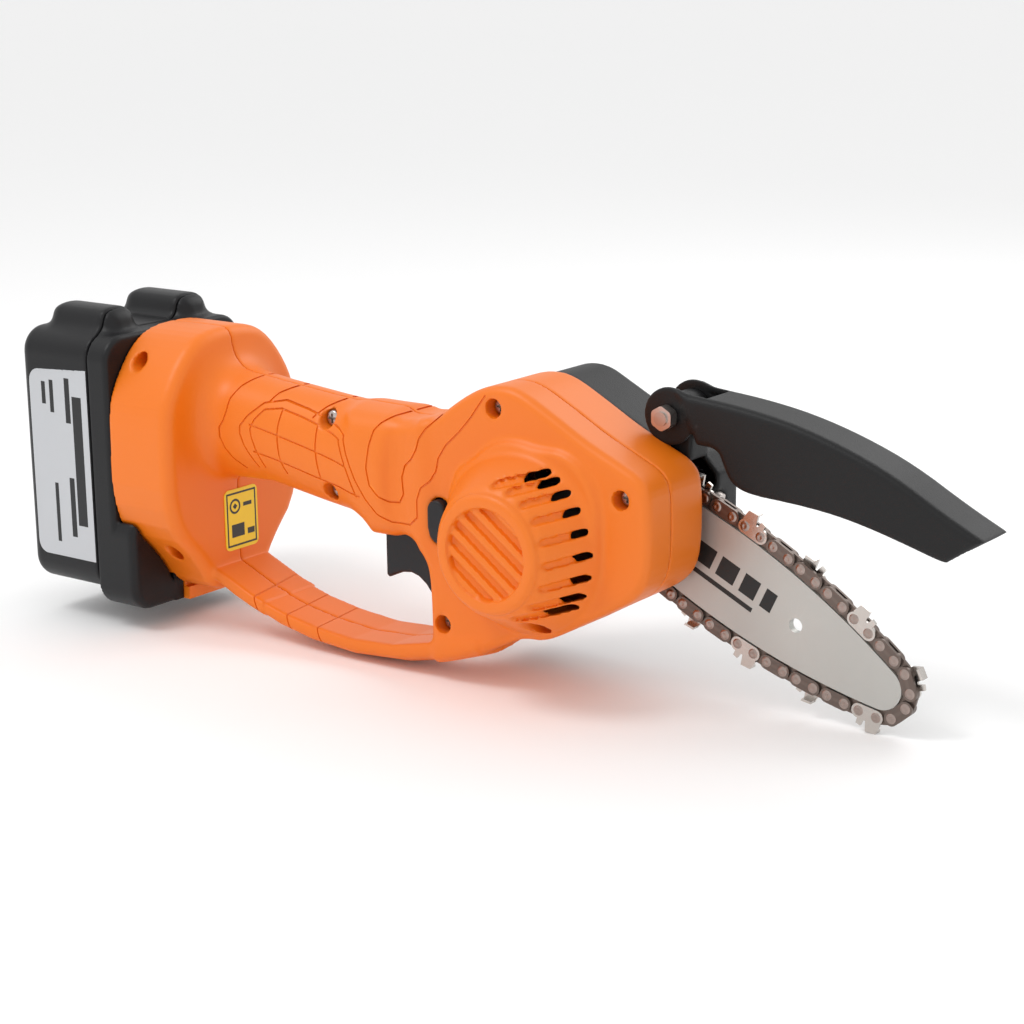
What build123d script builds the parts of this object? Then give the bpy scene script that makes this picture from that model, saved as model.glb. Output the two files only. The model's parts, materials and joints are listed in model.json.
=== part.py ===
import os
from math import asin, atan2, cos, degrees, hypot, pi, radians, sin, sqrt, tan

from build123d import *

os.makedirs("parts", exist_ok=True)

# One-handed cordless pruning saw, in millimetres.
# While it is modelled, the sprocket's axis runs along Y through the origin and the guide bar's
# mid-plane is y = 0. +X points forward, +Z up and -Y to the motor side, the user's right.
# Finished pieces are moved so that the origin is the middle of the whole saw's base.

# Clearances
face_gap = 0.3  # between faces of pieces that only lie side by side
running_fit = 0.04  # radial, shaft in bush or bearing
hole_fit = 0.05  # radial, rivet or screw in its hole
slide_fit = 0.3  # per side, battery and buttons in their ways

# Clamshell
parting_y = -27.0
shell_wall = 2.4
head_near_y = -42.0  # motor side face of the gearbox head
head_far_y = -5.5  # bar side face of the gearbox head
strap_width = 30.0  # trigger zone and hand guard loop, across the parting plane
handle_width = 34.0
handle_height = 39.0
foot_width = 75.4
foot_depth = 31.0
foot_front_x = -145.0

# Drive
gear_module = 1.0
pinion_teeth = 10
gear_teeth = 30
gear_width = 6.5
pinion_length = 8.0
shaft_radius = 4.0
shaft_tail_radius = 3.0
motor_radius = 18.0
motor_length = 33.0
motor_front_y = -23.0
motor_shaft_radius = 1.6
commutator_radius = 5.0
motor_direction = -72.5  # degrees, from the sprocket's axis to the motor's
cap_face_y = -65.0  # outer face of the motor cap
cap_radius = 21.0
bulge_radius = 33.0  # where the cap's cone meets the head
louvre_radius = 16.5
plate_thickness = 2.5

# Chain and bar
bar_tilt = 26.0  # degrees below level
strap_pitch = 6.9  # rivet to rivet across a tie strap
link_pitch = 5.8  # rivet to rivet across a drive link
drive_link_count = 28
sprocket_teeth = 6
nose_radius = 11.0  # of the rivet line round the bar's nose
belly_height = 20.2  # of the rivet line at the bar's widest place
gauge = 1.15  # drive link thickness
strap_thickness = 1.1
plate_half_height = 2.65
rivet_radius = 1.15
rivet_head_radius = 2.0
tang_depth = 6.0
cutter_height = 6.4
bar_thickness = 3.05
groove_depth = 4.6
nose_hole_radius = 2.6
nose_hole_distance = 103.0  # from the sprocket's axis
stud_radius = 3.0
stud_places = (32.0, 44.0)  # along the bar
stud_boss_radius = 5.6
sprocket_width = 6.0

# Sprocket cover and guard
cover_far_y = 20.0
cover_wall = 2.2
cover_inset = 2.4
guard_width = 20.0
guard_wall = 2.0
guard_pivot = (45.0, 24.5)
guard_ear_radius = 8.2
guard_bolt_radius = 2.5

# Battery
battery_width = 75.0
battery_rear_x = -225.0
battery_seam_x = -187.0
battery_top = 39.0
battery_bottom = -64.0
battery_wall = 2.3
cell_radius = 9.15
cell_length = 65.0
cell_rows = 5
tongue_width = 32.0
tongue_depth = 10.0
tongue_neck = 26.0  # between the lips of the rails
tongue_top = 19.5
shoulder_bottom = -70.0
lump_height = 9.0

# Fasteners
screw_radius = 1.5
screw_head_radius = 3.0
screw_seat_y = -35.0
recess_radius = 3.6

# Worked out from the sizes above
strap_far_y = parting_y + strap_width / 2
foot_rear_x = foot_front_x - foot_depth
gear_distance = gear_module * (pinion_teeth + gear_teeth) / 2
motor_x = gear_distance * cos(radians(motor_direction))
motor_z = gear_distance * sin(radians(motor_direction))
motor_rear_y = motor_front_y - motor_length
sprocket_step = pi / sprocket_teeth
sprocket_line_radius = sqrt(
    strap_pitch**2 + link_pitch**2 + 2 * strap_pitch * link_pitch * cos(sprocket_step)
) / (2 * sin(sprocket_step))
strap_sag = nose_radius - sqrt(nose_radius**2 - strap_pitch**2 / 4)
rail_inset = plate_half_height + strap_sag + 0.05
bar_half = bar_thickness / 2
tie_y = gauge / 2 + 0.05  # inner face of the tie straps


def side(y):
    """A plane across the saw at y: local x is forward, local y is up, and it faces the motor side."""
    return Plane.XZ.offset(-y)


def bar_side(y):
    """The same, turned so that local x runs along the guide bar."""
    tilt = radians(bar_tilt)
    return Plane(origin=(0, y, 0), x_dir=(cos(tilt), 0, -sin(tilt)), z_dir=(0, -1, 0))


def from_bar(along, up):
    """X and Z of a point given along and up from the bar's centre line."""
    tilt = radians(bar_tilt)
    return along * cos(tilt) + up * sin(tilt), up * cos(tilt) - along * sin(tilt)


# The chain's rivet line: two round ends joined by long arcs that meet at the bar's belly.
def flank_radius(span, end_radius):
    return (span**2 + belly_height**2 - end_radius**2) / (2 * (belly_height - end_radius))


def rivet_line(reach):
    """Arcs of the rivet line as (centre x, centre y, radius, start angle, sweep), clockwise from the top."""
    belly = reach / 2
    front = flank_radius(reach - belly, nose_radius)
    rear = flank_radius(belly, sprocket_line_radius)
    front_lean = atan2(front - belly_height, reach - belly)
    rear_lean = atan2(rear - belly_height, belly)
    return [
        (belly, belly_height - front, front, pi / 2, -(pi / 2 - front_lean)),
        (reach, 0, nose_radius, front_lean, -2 * front_lean),
        (belly, front - belly_height, front, -front_lean, -(pi / 2 - front_lean)),
        (belly, rear - belly_height, rear, -pi / 2, -(pi / 2 - rear_lean)),
        (0, 0, sprocket_line_radius, -pi + rear_lean, -2 * rear_lean),
        (belly, belly_height - rear, rear, pi - rear_lean, -(pi / 2 - rear_lean)),
    ]


def line_point(arcs, distance):
    """The point at a distance along the rivet line."""
    lengths = [abs(arc[2] * arc[4]) for arc in arcs]
    distance = distance % sum(lengths)
    for (x, y, radius, start, sweep), length in zip(arcs, lengths):
        if distance <= length:
            angle = start + sweep * distance / length
            return x + radius * cos(angle), y + radius * sin(angle)
        distance -= length
    return x + radius * cos(start + sweep), y + radius * sin(start + sweep)


def march(arcs, distance, chord):
    """Distance along the rivet line of the next rivet, a straight chord away."""
    x, y = line_point(arcs, distance)
    low, high = chord, chord * 1.3
    for _ in range(40):
        middle = (low + high) / 2
        px, py = line_point(arcs, distance + middle)
        if hypot(px - x, py - y) < chord:
            low = middle
        else:
            high = middle
    return distance + low


def rivets_for(reach, start=0.0):
    """Distances of every rivet along the line, and where the one after the last would be."""
    arcs = rivet_line(reach)
    places = [start]
    for number in range(2 * drive_link_count):
        chord = strap_pitch if number % 2 == 0 else link_pitch
        places.append(march(arcs, places[-1], chord))
    return places


def loop_error(reach):
    """How far past a full turn the last rivet of a chain on this reach ends."""
    total = sum(abs(arc[2] * arc[4]) for arc in rivet_line(reach))
    return rivets_for(reach)[-1] - total


chain_length = drive_link_count * (strap_pitch + link_pitch)
shortest = chain_length / 2 - pi * belly_height
longest = chain_length / 2
for _ in range(40):
    bar_reach = (shortest + longest) / 2
    if loop_error(bar_reach) > 0:
        shortest = bar_reach
    else:
        longest = bar_reach

chain_arcs = rivet_line(bar_reach)
rivet_distances = rivets_for(bar_reach)[:-1]
rivet_points = [line_point(chain_arcs, distance) for distance in rivet_distances]


def between(first, second):
    """A place in a bar_side sketch: middle of two rivets, local x from the first to the second."""
    (ax, ay), (bx, by) = rivet_points[first], rivet_points[second % len(rivet_points)]
    turn = degrees(atan2(by - ay, bx - ax))
    return Location(((ax + bx) / 2, (ay + by) / 2, 0), (0, 0, turn))


strap_places = [between(2 * n, 2 * n + 1) for n in range(drive_link_count)]
link_places = [between(2 * n + 1, 2 * n + 2) for n in range(drive_link_count)]
left_places = strap_places[0::4]
right_places = strap_places[2::4]
plain_places = strap_places[1::2]


def rail_outline(inset, tail):
    """Edges of the bar's outline, inset from the rivet line and cut square at the tail."""
    belly = bar_reach / 2
    front_x, front_y, front, _, front_sweep = chain_arcs[0]
    rear = flank_radius(belly, sprocket_line_radius)
    radius, nose = front - inset, nose_radius - inset
    lean = degrees(pi / 2 + front_sweep)
    tail_radius = rear - inset
    tail_lean = degrees(asin((belly - tail) / tail_radius))
    CenterArc((front_x, front_y), radius, lean, 90 - lean)
    CenterArc((bar_reach, 0), nose, -lean, 2 * lean)
    CenterArc((front_x, -front_y), radius, -90, 90 - lean)
    top = CenterArc((belly, belly_height - rear), tail_radius, 90, tail_lean)
    bottom = CenterArc((belly, rear - belly_height), tail_radius, -90, -tail_lean)
    Line(top @ 1, bottom @ 1)


# Side outlines of the clamshell, shared by its outside, its hollow and the sprocket cover
def head_outline():
    hollow_back = ThreePointArc((-38, 18.4), (-32.5, 21.4), (-27, 26.0))
    hump_start = Line(hollow_back @ 1, (-19, 31.0))
    hump = ThreePointArc(hump_start @ 1, (-6.5, 36.2), (6, 33.8))
    front = Polyline(
        hump @ 1, (50.5, 11.0), (58.2, 3.0), (58.2, -23.0), (52.5, -33.0), (16, -54.6), (4.5, -54.6)
    )
    belly = ThreePointArc(front @ 1, (-16, -65.0), (-38, -72.0))
    Line(belly @ 1, hollow_back @ 0)


def loop_outline(depth):
    """Side of the hand guard loop, as deep as given under its inner face."""
    inner_rear = ThreePointArc((-150, -48.5), (-115, -64.3), (-76, -69.6))
    inner_front = ThreePointArc(inner_rear @ 1, (-55, -68.0), (-36, -63.0))
    outer_front = ThreePointArc((-36, -64 - depth), (-55, -68.4 - depth), (-76, -69.6 - depth))
    outer_rear = ThreePointArc(outer_front @ 1, (-115, -64.0 - depth), (-150, -49.5 - depth))
    Line(inner_front @ 1, outer_front @ 0)
    Line(outer_rear @ 1, inner_rear @ 0)


def zone_outline():
    """Trigger zone between the handle and the head, above the finger opening."""
    Polyline(
        (-72, 19.0), (-56, 17.2), (-36, 19.0), (-36, -32.0), (-43, -27.0), (-50, -25.8), (-65, -26.6),
        (-72, -17.5),
        close=True,
    )


def foot_outline(grow):
    """Battery foot, seen along X, from its middle at the parting plane."""
    half = foot_width / 2 + grow
    top, bottom = 40.5 + grow, -63.5 - grow
    Polyline(
        (half, 12), (half - 13, 33), (12, top), (-12, top), (13 - half, 33), (-half, 12),
        (-half, -34), (19 - half, -52), (-13, bottom), (13, bottom), (half - 19, -52), (half, -34),
        close=True,
    )


foot_plane = Plane(origin=(foot_front_x, parting_y, 0), x_dir=(0, 1, 0), z_dir=(1, 0, 0))
motor_plane = Plane(origin=(motor_x, 0, motor_z), x_dir=(1, 0, 0), z_dir=(0, 0, -1))
motor_axis = Axis((motor_x, 0, motor_z), (0, -1, 0))
loop_side_depth = 4.8
loop_crown_depth = 8.6
loop_crown_width = 15.0
foot_chamfer = 6.0
handle_sections = ((foot_front_x - 4, 4.2, 1.08), (-118, 3.0, 1.0), (-92, -0.3, 1.0), (-62, -3.4, 1.06))


def handle_section(x, z, scale, trim):
    with BuildSketch(Plane(origin=(x, parting_y, z), x_dir=(0, 1, 0), z_dir=(1, 0, 0))) as section:
        Ellipse(handle_width * scale / 2 - trim, handle_height * scale / 2 - trim)
    return section.sketch


def cap_outline(trim):
    """Half section of the motor's bulge and cap: local x is the radius, local y runs towards -Y."""
    root, rim, face = -head_near_y - 6, -head_near_y - 0.4 * trim, -cap_face_y - trim
    Polyline(
        (0, root),
        (bulge_radius - trim, root),
        (bulge_radius - trim, rim),
        (cap_radius + 1.5 - trim, face - 3 + 0.4 * trim),
        (cap_radius - 1.5 - trim, face),
        (0, face),
        close=True,
    )


def clamshell(trim):
    """The closed outside of the body, or the hollow inside it when trimmed by the wall."""
    with BuildPart() as body:
        with BuildSketch(side(head_far_y - trim)):
            with BuildLine():
                head_outline()
            make_face()
            if trim:
                offset(amount=-trim)
        extrude(amount=head_far_y - head_near_y - 2 * trim)
        with BuildSketch(side(strap_far_y - trim)):
            with BuildLine():
                zone_outline()
            make_face()
            if trim:
                offset(amount=-trim)
                with Locations((-36, -6)):
                    Rectangle(8, 40)
        extrude(amount=strap_width - 2 * trim)
        with BuildSketch(side(parting_y + loop_crown_width / 2 - trim)):
            with BuildLine():
                loop_outline(loop_crown_depth)
            make_face()
            if trim:
                offset(amount=-trim)
        extrude(amount=loop_crown_width - 2 * trim)
        if not trim:
            with BuildSketch(side(strap_far_y)):
                with BuildLine():
                    loop_outline(loop_side_depth)
                make_face()
            extrude(amount=strap_width)
        with BuildSketch(foot_plane.offset(-foot_chamfer - trim)) as foot:
            with BuildLine():
                foot_outline(-trim)
            make_face()
        extrude(amount=trim + foot_chamfer - foot_depth - (2 if trim else 0))
        extrude(foot.sketch, amount=foot_chamfer, taper=45)
        loft([handle_section(x, z, scale, trim) for x, z, scale in handle_sections])
        with BuildSketch(motor_plane):
            with BuildLine():
                cap_outline(trim)
            make_face()
        revolve(axis=motor_axis)
    return body.part


outside = clamshell(0)
hollow = clamshell(shell_wall)

# Screws that hold the two shells together, as (x, z)
screw_places = (
    (-6.8, 27.0), (46.8, 1.3), (-31.4, -56.0), (15.5, -47.5),
    (-85.6, 13.5), (-83.8, -13.5), (-168.0, 29.0), (-157.0, -46.0),
)
screw_length = 17.0
boss_radius = recess_radius + 1.2
widest = 70.0  # more than the body reaches to either side of the parting plane

# Openings in the shells
lock_place = (-31.5, -17.5)
lock_size = (8.0, 17.0)
lock_travel = 3.5
trigger_width = 14.0
trigger_travel = 5.0
vent_count = 10
vent_first, vent_last = -68.0, 70.0
vent_width = 2.6
louvre_count = 5
louvre_pitch = 6.4
louvre_slot = 3.0
louvre_turn = -36.0
dock_width = tongue_width + 8.0
dock_depth = 13.8
dock_top = tongue_top + 4.0
dock_bottom = -42.0
bearing_radius = 8.0
bearing_width = 5.0
bearing_front_y = head_far_y - 1.0
bearing_rear_y = bearing_front_y - bearing_width
plate_front_y = motor_front_y + plate_thickness
gear_y = plate_front_y + 0.75 + gear_width / 2
post_radius = 3.6
post_places = ((-20.0, -8.0), (21.0, 9.0), (-12.0, -38.0))  # plate posts, clear of gear and pinion
pad_near_y = head_far_y
pad_far_y = -bar_half - 0.05
tension_line = 17.0  # tensioner screw, above the bar's centre line
tension_y = 8.0
tension_radius = 2.0
tension_travel = 3.0
block_place = 38.0  # tensioner block, along the bar
pin_line = 10.0

with BuildPart() as boss_columns:
    with BuildSketch(side(parting_y + widest)):
        with Locations(*screw_places):
            Circle(boss_radius)
    extrude(amount=2 * widest)
bosses = boss_columns.part & outside

# Ways cut in both shells: trigger slot, and the battery tongue's way through the foot
with BuildPart() as ways:
    with BuildSketch(Plane.XY.offset(-33)):
        with Locations((-53, parting_y)):
            Rectangle(25, trigger_width + 2 * slide_fit)
    extrude(amount=13)
    with BuildSketch(Plane.XY.offset(shoulder_bottom - 1)):
        with Locations((foot_rear_x - 1, parting_y)):
            Rectangle(
                tongue_depth + slide_fit + 1, tongue_width + 2 * slide_fit, align=(Align.MIN, Align.CENTER)
            )
    extrude(amount=dock_bottom - shoulder_bottom + 1)

with BuildPart() as housing_right:
    add(outside)
    add(hollow, mode=Mode.SUBTRACT)
    add(bosses)
    add(ways.part, mode=Mode.SUBTRACT)
    split(bisect_by=side(parting_y), keep=Keep.TOP)
    with BuildSketch(side(screw_seat_y)):
        with Locations(*screw_places):
            Circle(recess_radius)
    extrude(amount=widest, mode=Mode.SUBTRACT)
    with BuildSketch(side(parting_y)):
        with Locations(*screw_places):
            Circle(screw_radius + 0.3)
    extrude(amount=widest, mode=Mode.SUBTRACT)
    with BuildSketch(side(cap_face_y + 6)):
        with Locations((motor_x, motor_z)):
            with Locations(Rotation(0, 0, louvre_turn)):
                with GridLocations(1, louvre_pitch, 1, louvre_count):
                    Rectangle(2 * louvre_radius, louvre_slot)
            Circle(louvre_radius, mode=Mode.INTERSECT)
    extrude(amount=8, mode=Mode.SUBTRACT)
    with BuildSketch(side(head_near_y)):
        with Locations((motor_x, motor_z)):
            with PolarLocations(
                (cap_radius + bulge_radius) / 2 + 2.5,
                vent_count,
                start_angle=vent_first,
                angular_range=(vent_last - vent_first) * vent_count / (vent_count - 1),
            ):
                Rectangle(bulge_radius - cap_radius - 2, vent_width)
    extrude(amount=15, mode=Mode.SUBTRACT)
    with BuildSketch(side(parting_y - 4)):
        with Locations(lock_place):
            RectangleRounded(
                lock_size[0] + 2 * slide_fit, lock_size[1] + 2 * slide_fit, lock_size[0] / 2
            )
    extrude(amount=widest, mode=Mode.SUBTRACT)
housing_right.part.label = "housing_right"

with BuildPart() as housing_left:
    add(outside)
    add(hollow, mode=Mode.SUBTRACT)
    add(bosses)
    with BuildSketch(side(head_far_y)):
        Circle(bearing_radius + shell_wall)
    extrude(amount=head_far_y - bearing_rear_y + 0.5)
    with BuildSketch(side(head_far_y)):
        with Locations(*post_places):
            Circle(post_radius)
    extrude(amount=head_far_y - plate_front_y)
    with BuildSketch(bar_side(head_far_y)):
        with Locations(*[(place, 0) for place in stud_places]):
            Circle(stud_boss_radius)
    extrude(amount=5)
    with BuildSketch(bar_side(pad_far_y)):
        with Locations(((stud_places[0] + stud_places[1]) / 2, 0)):
            RectangleRounded(stud_places[1] - stud_places[0] + 18, 14, 4)
    extrude(amount=pad_far_y - head_far_y)
    with BuildSketch(side(head_far_y - shell_wall)):
        with Locations(lock_place):
            Circle(post_radius)
    extrude(amount=head_far_y - shell_wall - parting_y - 1)
    add(ways.part, mode=Mode.SUBTRACT)
    split(bisect_by=side(parting_y), keep=Keep.BOTTOM)
    with BuildSketch(side(screw_seat_y + screw_length + 0.5)):
        with Locations(*screw_places):
            Circle(screw_radius + hole_fit)
    extrude(amount=widest, mode=Mode.SUBTRACT)
    with BuildSketch(side(bearing_front_y)):
        Circle(bearing_radius + hole_fit)
    extrude(amount=bearing_width + 1, mode=Mode.SUBTRACT)
    with BuildSketch(side(0)):
        Circle(shaft_radius + 1)
    extrude(amount=-bearing_rear_y, mode=Mode.SUBTRACT)
    with BuildSketch(bar_side(0)):
        with Locations(*[(place, 0) for place in stud_places]):
            Circle(stud_radius + hole_fit)
    extrude(amount=-parting_y - 12, mode=Mode.SUBTRACT)
    with BuildSketch(side(plate_front_y + 9)):
        with Locations(*post_places):
            Circle(screw_radius + hole_fit)
    extrude(amount=10, mode=Mode.SUBTRACT)
housing_left.part.label = "housing_left"


def pan_screw(radius, head_radius, length, head_height=2.2):
    """A pan head screw along -Z with a cross recess, its head's seat at z = 0."""
    with BuildPart(mode=Mode.PRIVATE) as screw:
        with BuildSketch():
            Circle(head_radius)
        extrude(amount=head_height)
        fillet(screw.edges().group_by(Axis.Z)[-1], 0.45 * head_height)
        with BuildSketch(Plane.XY.offset(head_height)):
            Rectangle(1.2 * head_radius, 0.3 * head_radius)
            Rectangle(0.3 * head_radius, 1.2 * head_radius)
        extrude(amount=-0.6 * head_height, mode=Mode.SUBTRACT)
        with BuildSketch():
            Circle(radius)
        extrude(amount=-length)
    return screw.part


def hex_nut(flats, height, hole):
    with BuildPart(mode=Mode.PRIVATE) as nut:
        with BuildSketch():
            RegularPolygon(flats / 2, 6, major_radius=False)
        extrude(amount=height)
        with BuildSketch(Plane.XY.offset(-0.01)):
            Circle(flats / 2 * 1.08)
        extrude(amount=height + 0.02, mode=Mode.INTERSECT)
        with BuildSketch():
            Circle(hole)
        extrude(amount=height, mode=Mode.SUBTRACT)
    return nut.part


def spots(plane, places):
    """Planes like the given one, moved to each local place."""
    return [
        Plane(plane.from_local_coords((x, z, 0)), x_dir=plane.x_dir, z_dir=plane.z_dir) for x, z in places
    ]


shell_screw = pan_screw(screw_radius, screw_head_radius, screw_length)
with BuildPart() as shell_screws:
    for spot in spots(side(screw_seat_y), screw_places):
        add(spot.location * shell_screw)
shell_screws.part.label = "shell_screws"

# Motor, plate, gears and spindle
with BuildPart() as motor_can:
    with BuildSketch(side(motor_front_y)):
        with Locations((motor_x, motor_z)):
            Circle(motor_radius)
    extrude(amount=motor_length - 3)
    with BuildSketch(side(motor_front_y - 1.4)):
        with Locations((motor_x, motor_z)):
            Circle(motor_radius - 1.4)
    extrude(amount=motor_length, mode=Mode.SUBTRACT)
    with BuildSketch(side(motor_front_y)):
        with Locations((motor_x, motor_z)):
            Circle(motor_shaft_radius + running_fit)
            with PolarLocations(12.5, 2):
                Circle(screw_radius + hole_fit)
    extrude(amount=2, mode=Mode.SUBTRACT)
motor_can.part.label = "motor_can"

with BuildPart() as motor_magnets:
    with BuildSketch(side(motor_front_y - 3)):
        with Locations((motor_x, motor_z)):
            Circle(motor_radius - 1.4)
            Circle(motor_radius - 4.4, mode=Mode.SUBTRACT)
            Rectangle(2 * motor_radius, 9, mode=Mode.SUBTRACT)
    extrude(amount=motor_length - 9)
motor_magnets.part.label = "motor_magnets"

with BuildPart() as motor_end_bell:
    with BuildSketch(side(motor_front_y - motor_length + 3)):
        with Locations((motor_x, motor_z)):
            Circle(motor_radius)
            Circle(motor_shaft_radius + running_fit, mode=Mode.SUBTRACT)
            with PolarLocations(11, 4):
                Rectangle(6, 4, mode=Mode.SUBTRACT)
    extrude(amount=2)
    with BuildSketch(side(motor_front_y - motor_length + 3)):
        with Locations((motor_x, motor_z)):
            Circle(3.6)
            Circle(motor_shaft_radius + running_fit, mode=Mode.SUBTRACT)
    extrude(amount=3)
motor_end_bell.part.label = "motor_end_bell"

brush_inner = commutator_radius + 0.2
brush_outer = motor_radius - 6.8  # clear of the magnets
with BuildPart() as motor_brushes:
    with BuildSketch(side(motor_front_y - motor_length + 9)):
        with Locations((motor_x, motor_z)):
            with PolarLocations((brush_inner + brush_outer) / 2, 2, start_angle=90):
                Rectangle(brush_outer - brush_inner, 3.4)
    extrude(amount=5.9)
motor_brushes.part.label = "motor_brushes"

with BuildPart() as armature:
    with BuildSketch(side(motor_front_y - 4)):
        with Locations((motor_x, motor_z)):
            Circle(motor_radius - 5.0)
            with PolarLocations(motor_radius - 7.0, 5):
                Rectangle(5.4, 1.4, mode=Mode.SUBTRACT)
            Circle(motor_shaft_radius, mode=Mode.SUBTRACT)
    extrude(amount=motor_length - 15)
armature.part.label = "armature"

with BuildPart() as commutator:
    with BuildSketch(side(motor_front_y - motor_length + 11)):
        with Locations((motor_x, motor_z)):
            Circle(commutator_radius)
            Circle(motor_shaft_radius, mode=Mode.SUBTRACT)
    extrude(amount=7)
commutator.part.label = "commutator"

fan_y = motor_front_y - motor_length - 1.4
with BuildPart() as motor_shaft:
    with BuildSketch(side(gear_y + pinion_length / 2)):
        with Locations((motor_x, motor_z)):
            Circle(motor_shaft_radius)
    extrude(amount=gear_y + pinion_length / 2 - fan_y + 4.2)
motor_shaft.part.label = "motor_shaft"

with BuildPart() as cooling_fan:
    with BuildSketch(side(fan_y)):
        with Locations((motor_x, motor_z)):
            Circle(14.5)
            Circle(motor_shaft_radius, mode=Mode.SUBTRACT)
    extrude(amount=1)
    with BuildSketch(side(fan_y - 1)):
        with Locations((motor_x, motor_z)):
            with PolarLocations(9.6, 9):
                Rectangle(9.4, 1.2, rotation=24)
            Circle(4.2)
            Circle(motor_shaft_radius, mode=Mode.SUBTRACT)
    extrude(amount=2.8)
cooling_fan.part.label = "cooling_fan"


def gear_outline(teeth, phase):
    """Spur gear outline with backlash: involute flanks as three points each."""
    pitch = gear_module * teeth / 2
    base = pitch * cos(radians(20))
    outer, root = pitch + 0.9 * gear_module, pitch - 1.15 * gear_module
    half = 0.43 * pi / teeth + tan(radians(20)) - radians(20)

    def flank(radius):
        if radius <= base:
            return half
        lean = sqrt(radius**2 / base**2 - 1)
        return half - (lean - atan2(lean, 1))

    points = []
    for tooth in range(teeth):
        middle = phase + 2 * pi * tooth / teeth
        radii = [root, max(base, root + 0.2), pitch, outer]
        for radius in radii:
            points.append((radius * cos(middle - flank(radius)), radius * sin(middle - flank(radius))))
        for radius in reversed(radii):
            points.append((radius * cos(middle + flank(radius)), radius * sin(middle + flank(radius))))
    Polyline(*points, close=True)


mesh_angle = radians(motor_direction)
with BuildPart() as pinion:
    with BuildSketch(side(gear_y + pinion_length / 2)):
        with Locations((motor_x, motor_z)):
            with BuildSketch(mode=Mode.PRIVATE) as pinion_shape:
                with BuildLine():
                    gear_outline(pinion_teeth, mesh_angle + pi)
                make_face()
                Circle(motor_shaft_radius, mode=Mode.SUBTRACT)
            add(pinion_shape.sketch)
    extrude(amount=pinion_length - 0.6)
pinion.part.label = "pinion"

with BuildPart() as drive_gear:
    with BuildSketch(side(gear_y + gear_width / 2)):
        with BuildLine():
            gear_outline(gear_teeth, mesh_angle + pi / gear_teeth)
        make_face()
        Circle(shaft_radius, mode=Mode.SUBTRACT)
        with PolarLocations(9.2, 6):
            Circle(2.6, mode=Mode.SUBTRACT)
    extrude(amount=gear_width)
drive_gear.part.label = "drive_gear"

with BuildPart() as gear_plate:
    with BuildSketch(side(plate_front_y)):
        Circle(shaft_tail_radius + 6)
        with Locations((motor_x, motor_z)):
            Circle(motor_radius)
        with Locations(*post_places):
            Circle(post_radius)
        make_hull()
        Circle(shaft_tail_radius + 2, mode=Mode.SUBTRACT)
        with Locations(*post_places):
            Circle(screw_radius + hole_fit, mode=Mode.SUBTRACT)
        with Locations((motor_x, motor_z)):
            Circle(4, mode=Mode.SUBTRACT)
            with PolarLocations(12.5, 2):
                Circle(screw_radius + hole_fit, mode=Mode.SUBTRACT)
    extrude(amount=plate_thickness - 0.05)
gear_plate.part.label = "gear_plate"

with BuildPart() as spindle_bush:
    with BuildSketch(side(plate_front_y)):
        Circle(shaft_tail_radius + 2)
        Circle(shaft_tail_radius + running_fit, mode=Mode.SUBTRACT)
    extrude(amount=plate_thickness - 0.05)
spindle_bush.part.label = "spindle_bush"

plate_screw = pan_screw(screw_radius, 2.8, 10, 1.6)
motor_screw = pan_screw(screw_radius, 2.6, plate_thickness + 1.2, 1.6)
with BuildPart() as plate_screws:
    for x, z in post_places:
        place = Plane((x, plate_front_y - plate_thickness, z), x_dir=(1, 0, 0), z_dir=(0, -1, 0))
        add(place.location * plate_screw)
plate_screws.part.label = "plate_screws"

with BuildPart() as motor_screws:
    for turn in (0, pi):
        place = (motor_x + 12.5 * cos(turn), plate_front_y, motor_z + 12.5 * sin(turn))
        add(Plane(place, x_dir=(1, 0, 0), z_dir=(0, 1, 0)).location * motor_screw)
motor_screws.part.label = "motor_screws"

with BuildPart() as spindle:
    with BuildSketch(side(sprocket_width / 2 + 2.4)):
        Circle(shaft_radius)
    extrude(amount=sprocket_width / 2 + 2.4 - plate_front_y - 0.4)
    with BuildSketch(side(plate_front_y + 0.4)):
        Circle(shaft_tail_radius)
    extrude(amount=plate_thickness)
    with BuildSketch(side(sprocket_width / 2 + 1.3)):
        Circle(shaft_radius + 1)
        Circle(shaft_radius - 0.5, mode=Mode.SUBTRACT)
    extrude(amount=0.9, mode=Mode.SUBTRACT)
spindle.part.label = "spindle"

with BuildPart() as retaining_ring:
    with BuildSketch(side(sprocket_width / 2 + 1.25)):
        Circle(shaft_radius + 1.8)
        Circle(shaft_radius - 0.45, mode=Mode.SUBTRACT)
        with Locations((0, -shaft_radius)):
            Rectangle(3, 4, mode=Mode.SUBTRACT)
    extrude(amount=0.8)
retaining_ring.part.label = "retaining_ring"

race_radius = (shaft_radius + bearing_radius) / 2
ball_radius = 1.2
with BuildPart() as bearing_outer_ring:
    with BuildSketch(side(bearing_front_y)):
        Circle(bearing_radius)
        Circle(race_radius + 0.8, mode=Mode.SUBTRACT)
    extrude(amount=bearing_width)
    with BuildSketch(Plane.XY):
        with Locations((race_radius, bearing_front_y - bearing_width / 2)):
            Circle(ball_radius + running_fit)
    revolve(axis=Axis.Y, mode=Mode.SUBTRACT)
bearing_outer_ring.part.label = "bearing_outer_ring"

with BuildPart() as bearing_inner_ring:
    with BuildSketch(side(bearing_front_y)):
        Circle(race_radius - 0.8)
        Circle(shaft_radius, mode=Mode.SUBTRACT)
    extrude(amount=bearing_width)
    with BuildSketch(Plane.XY):
        with Locations((race_radius, bearing_front_y - bearing_width / 2)):
            Circle(ball_radius + running_fit)
    revolve(axis=Axis.Y, mode=Mode.SUBTRACT)
bearing_inner_ring.part.label = "bearing_inner_ring"

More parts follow.
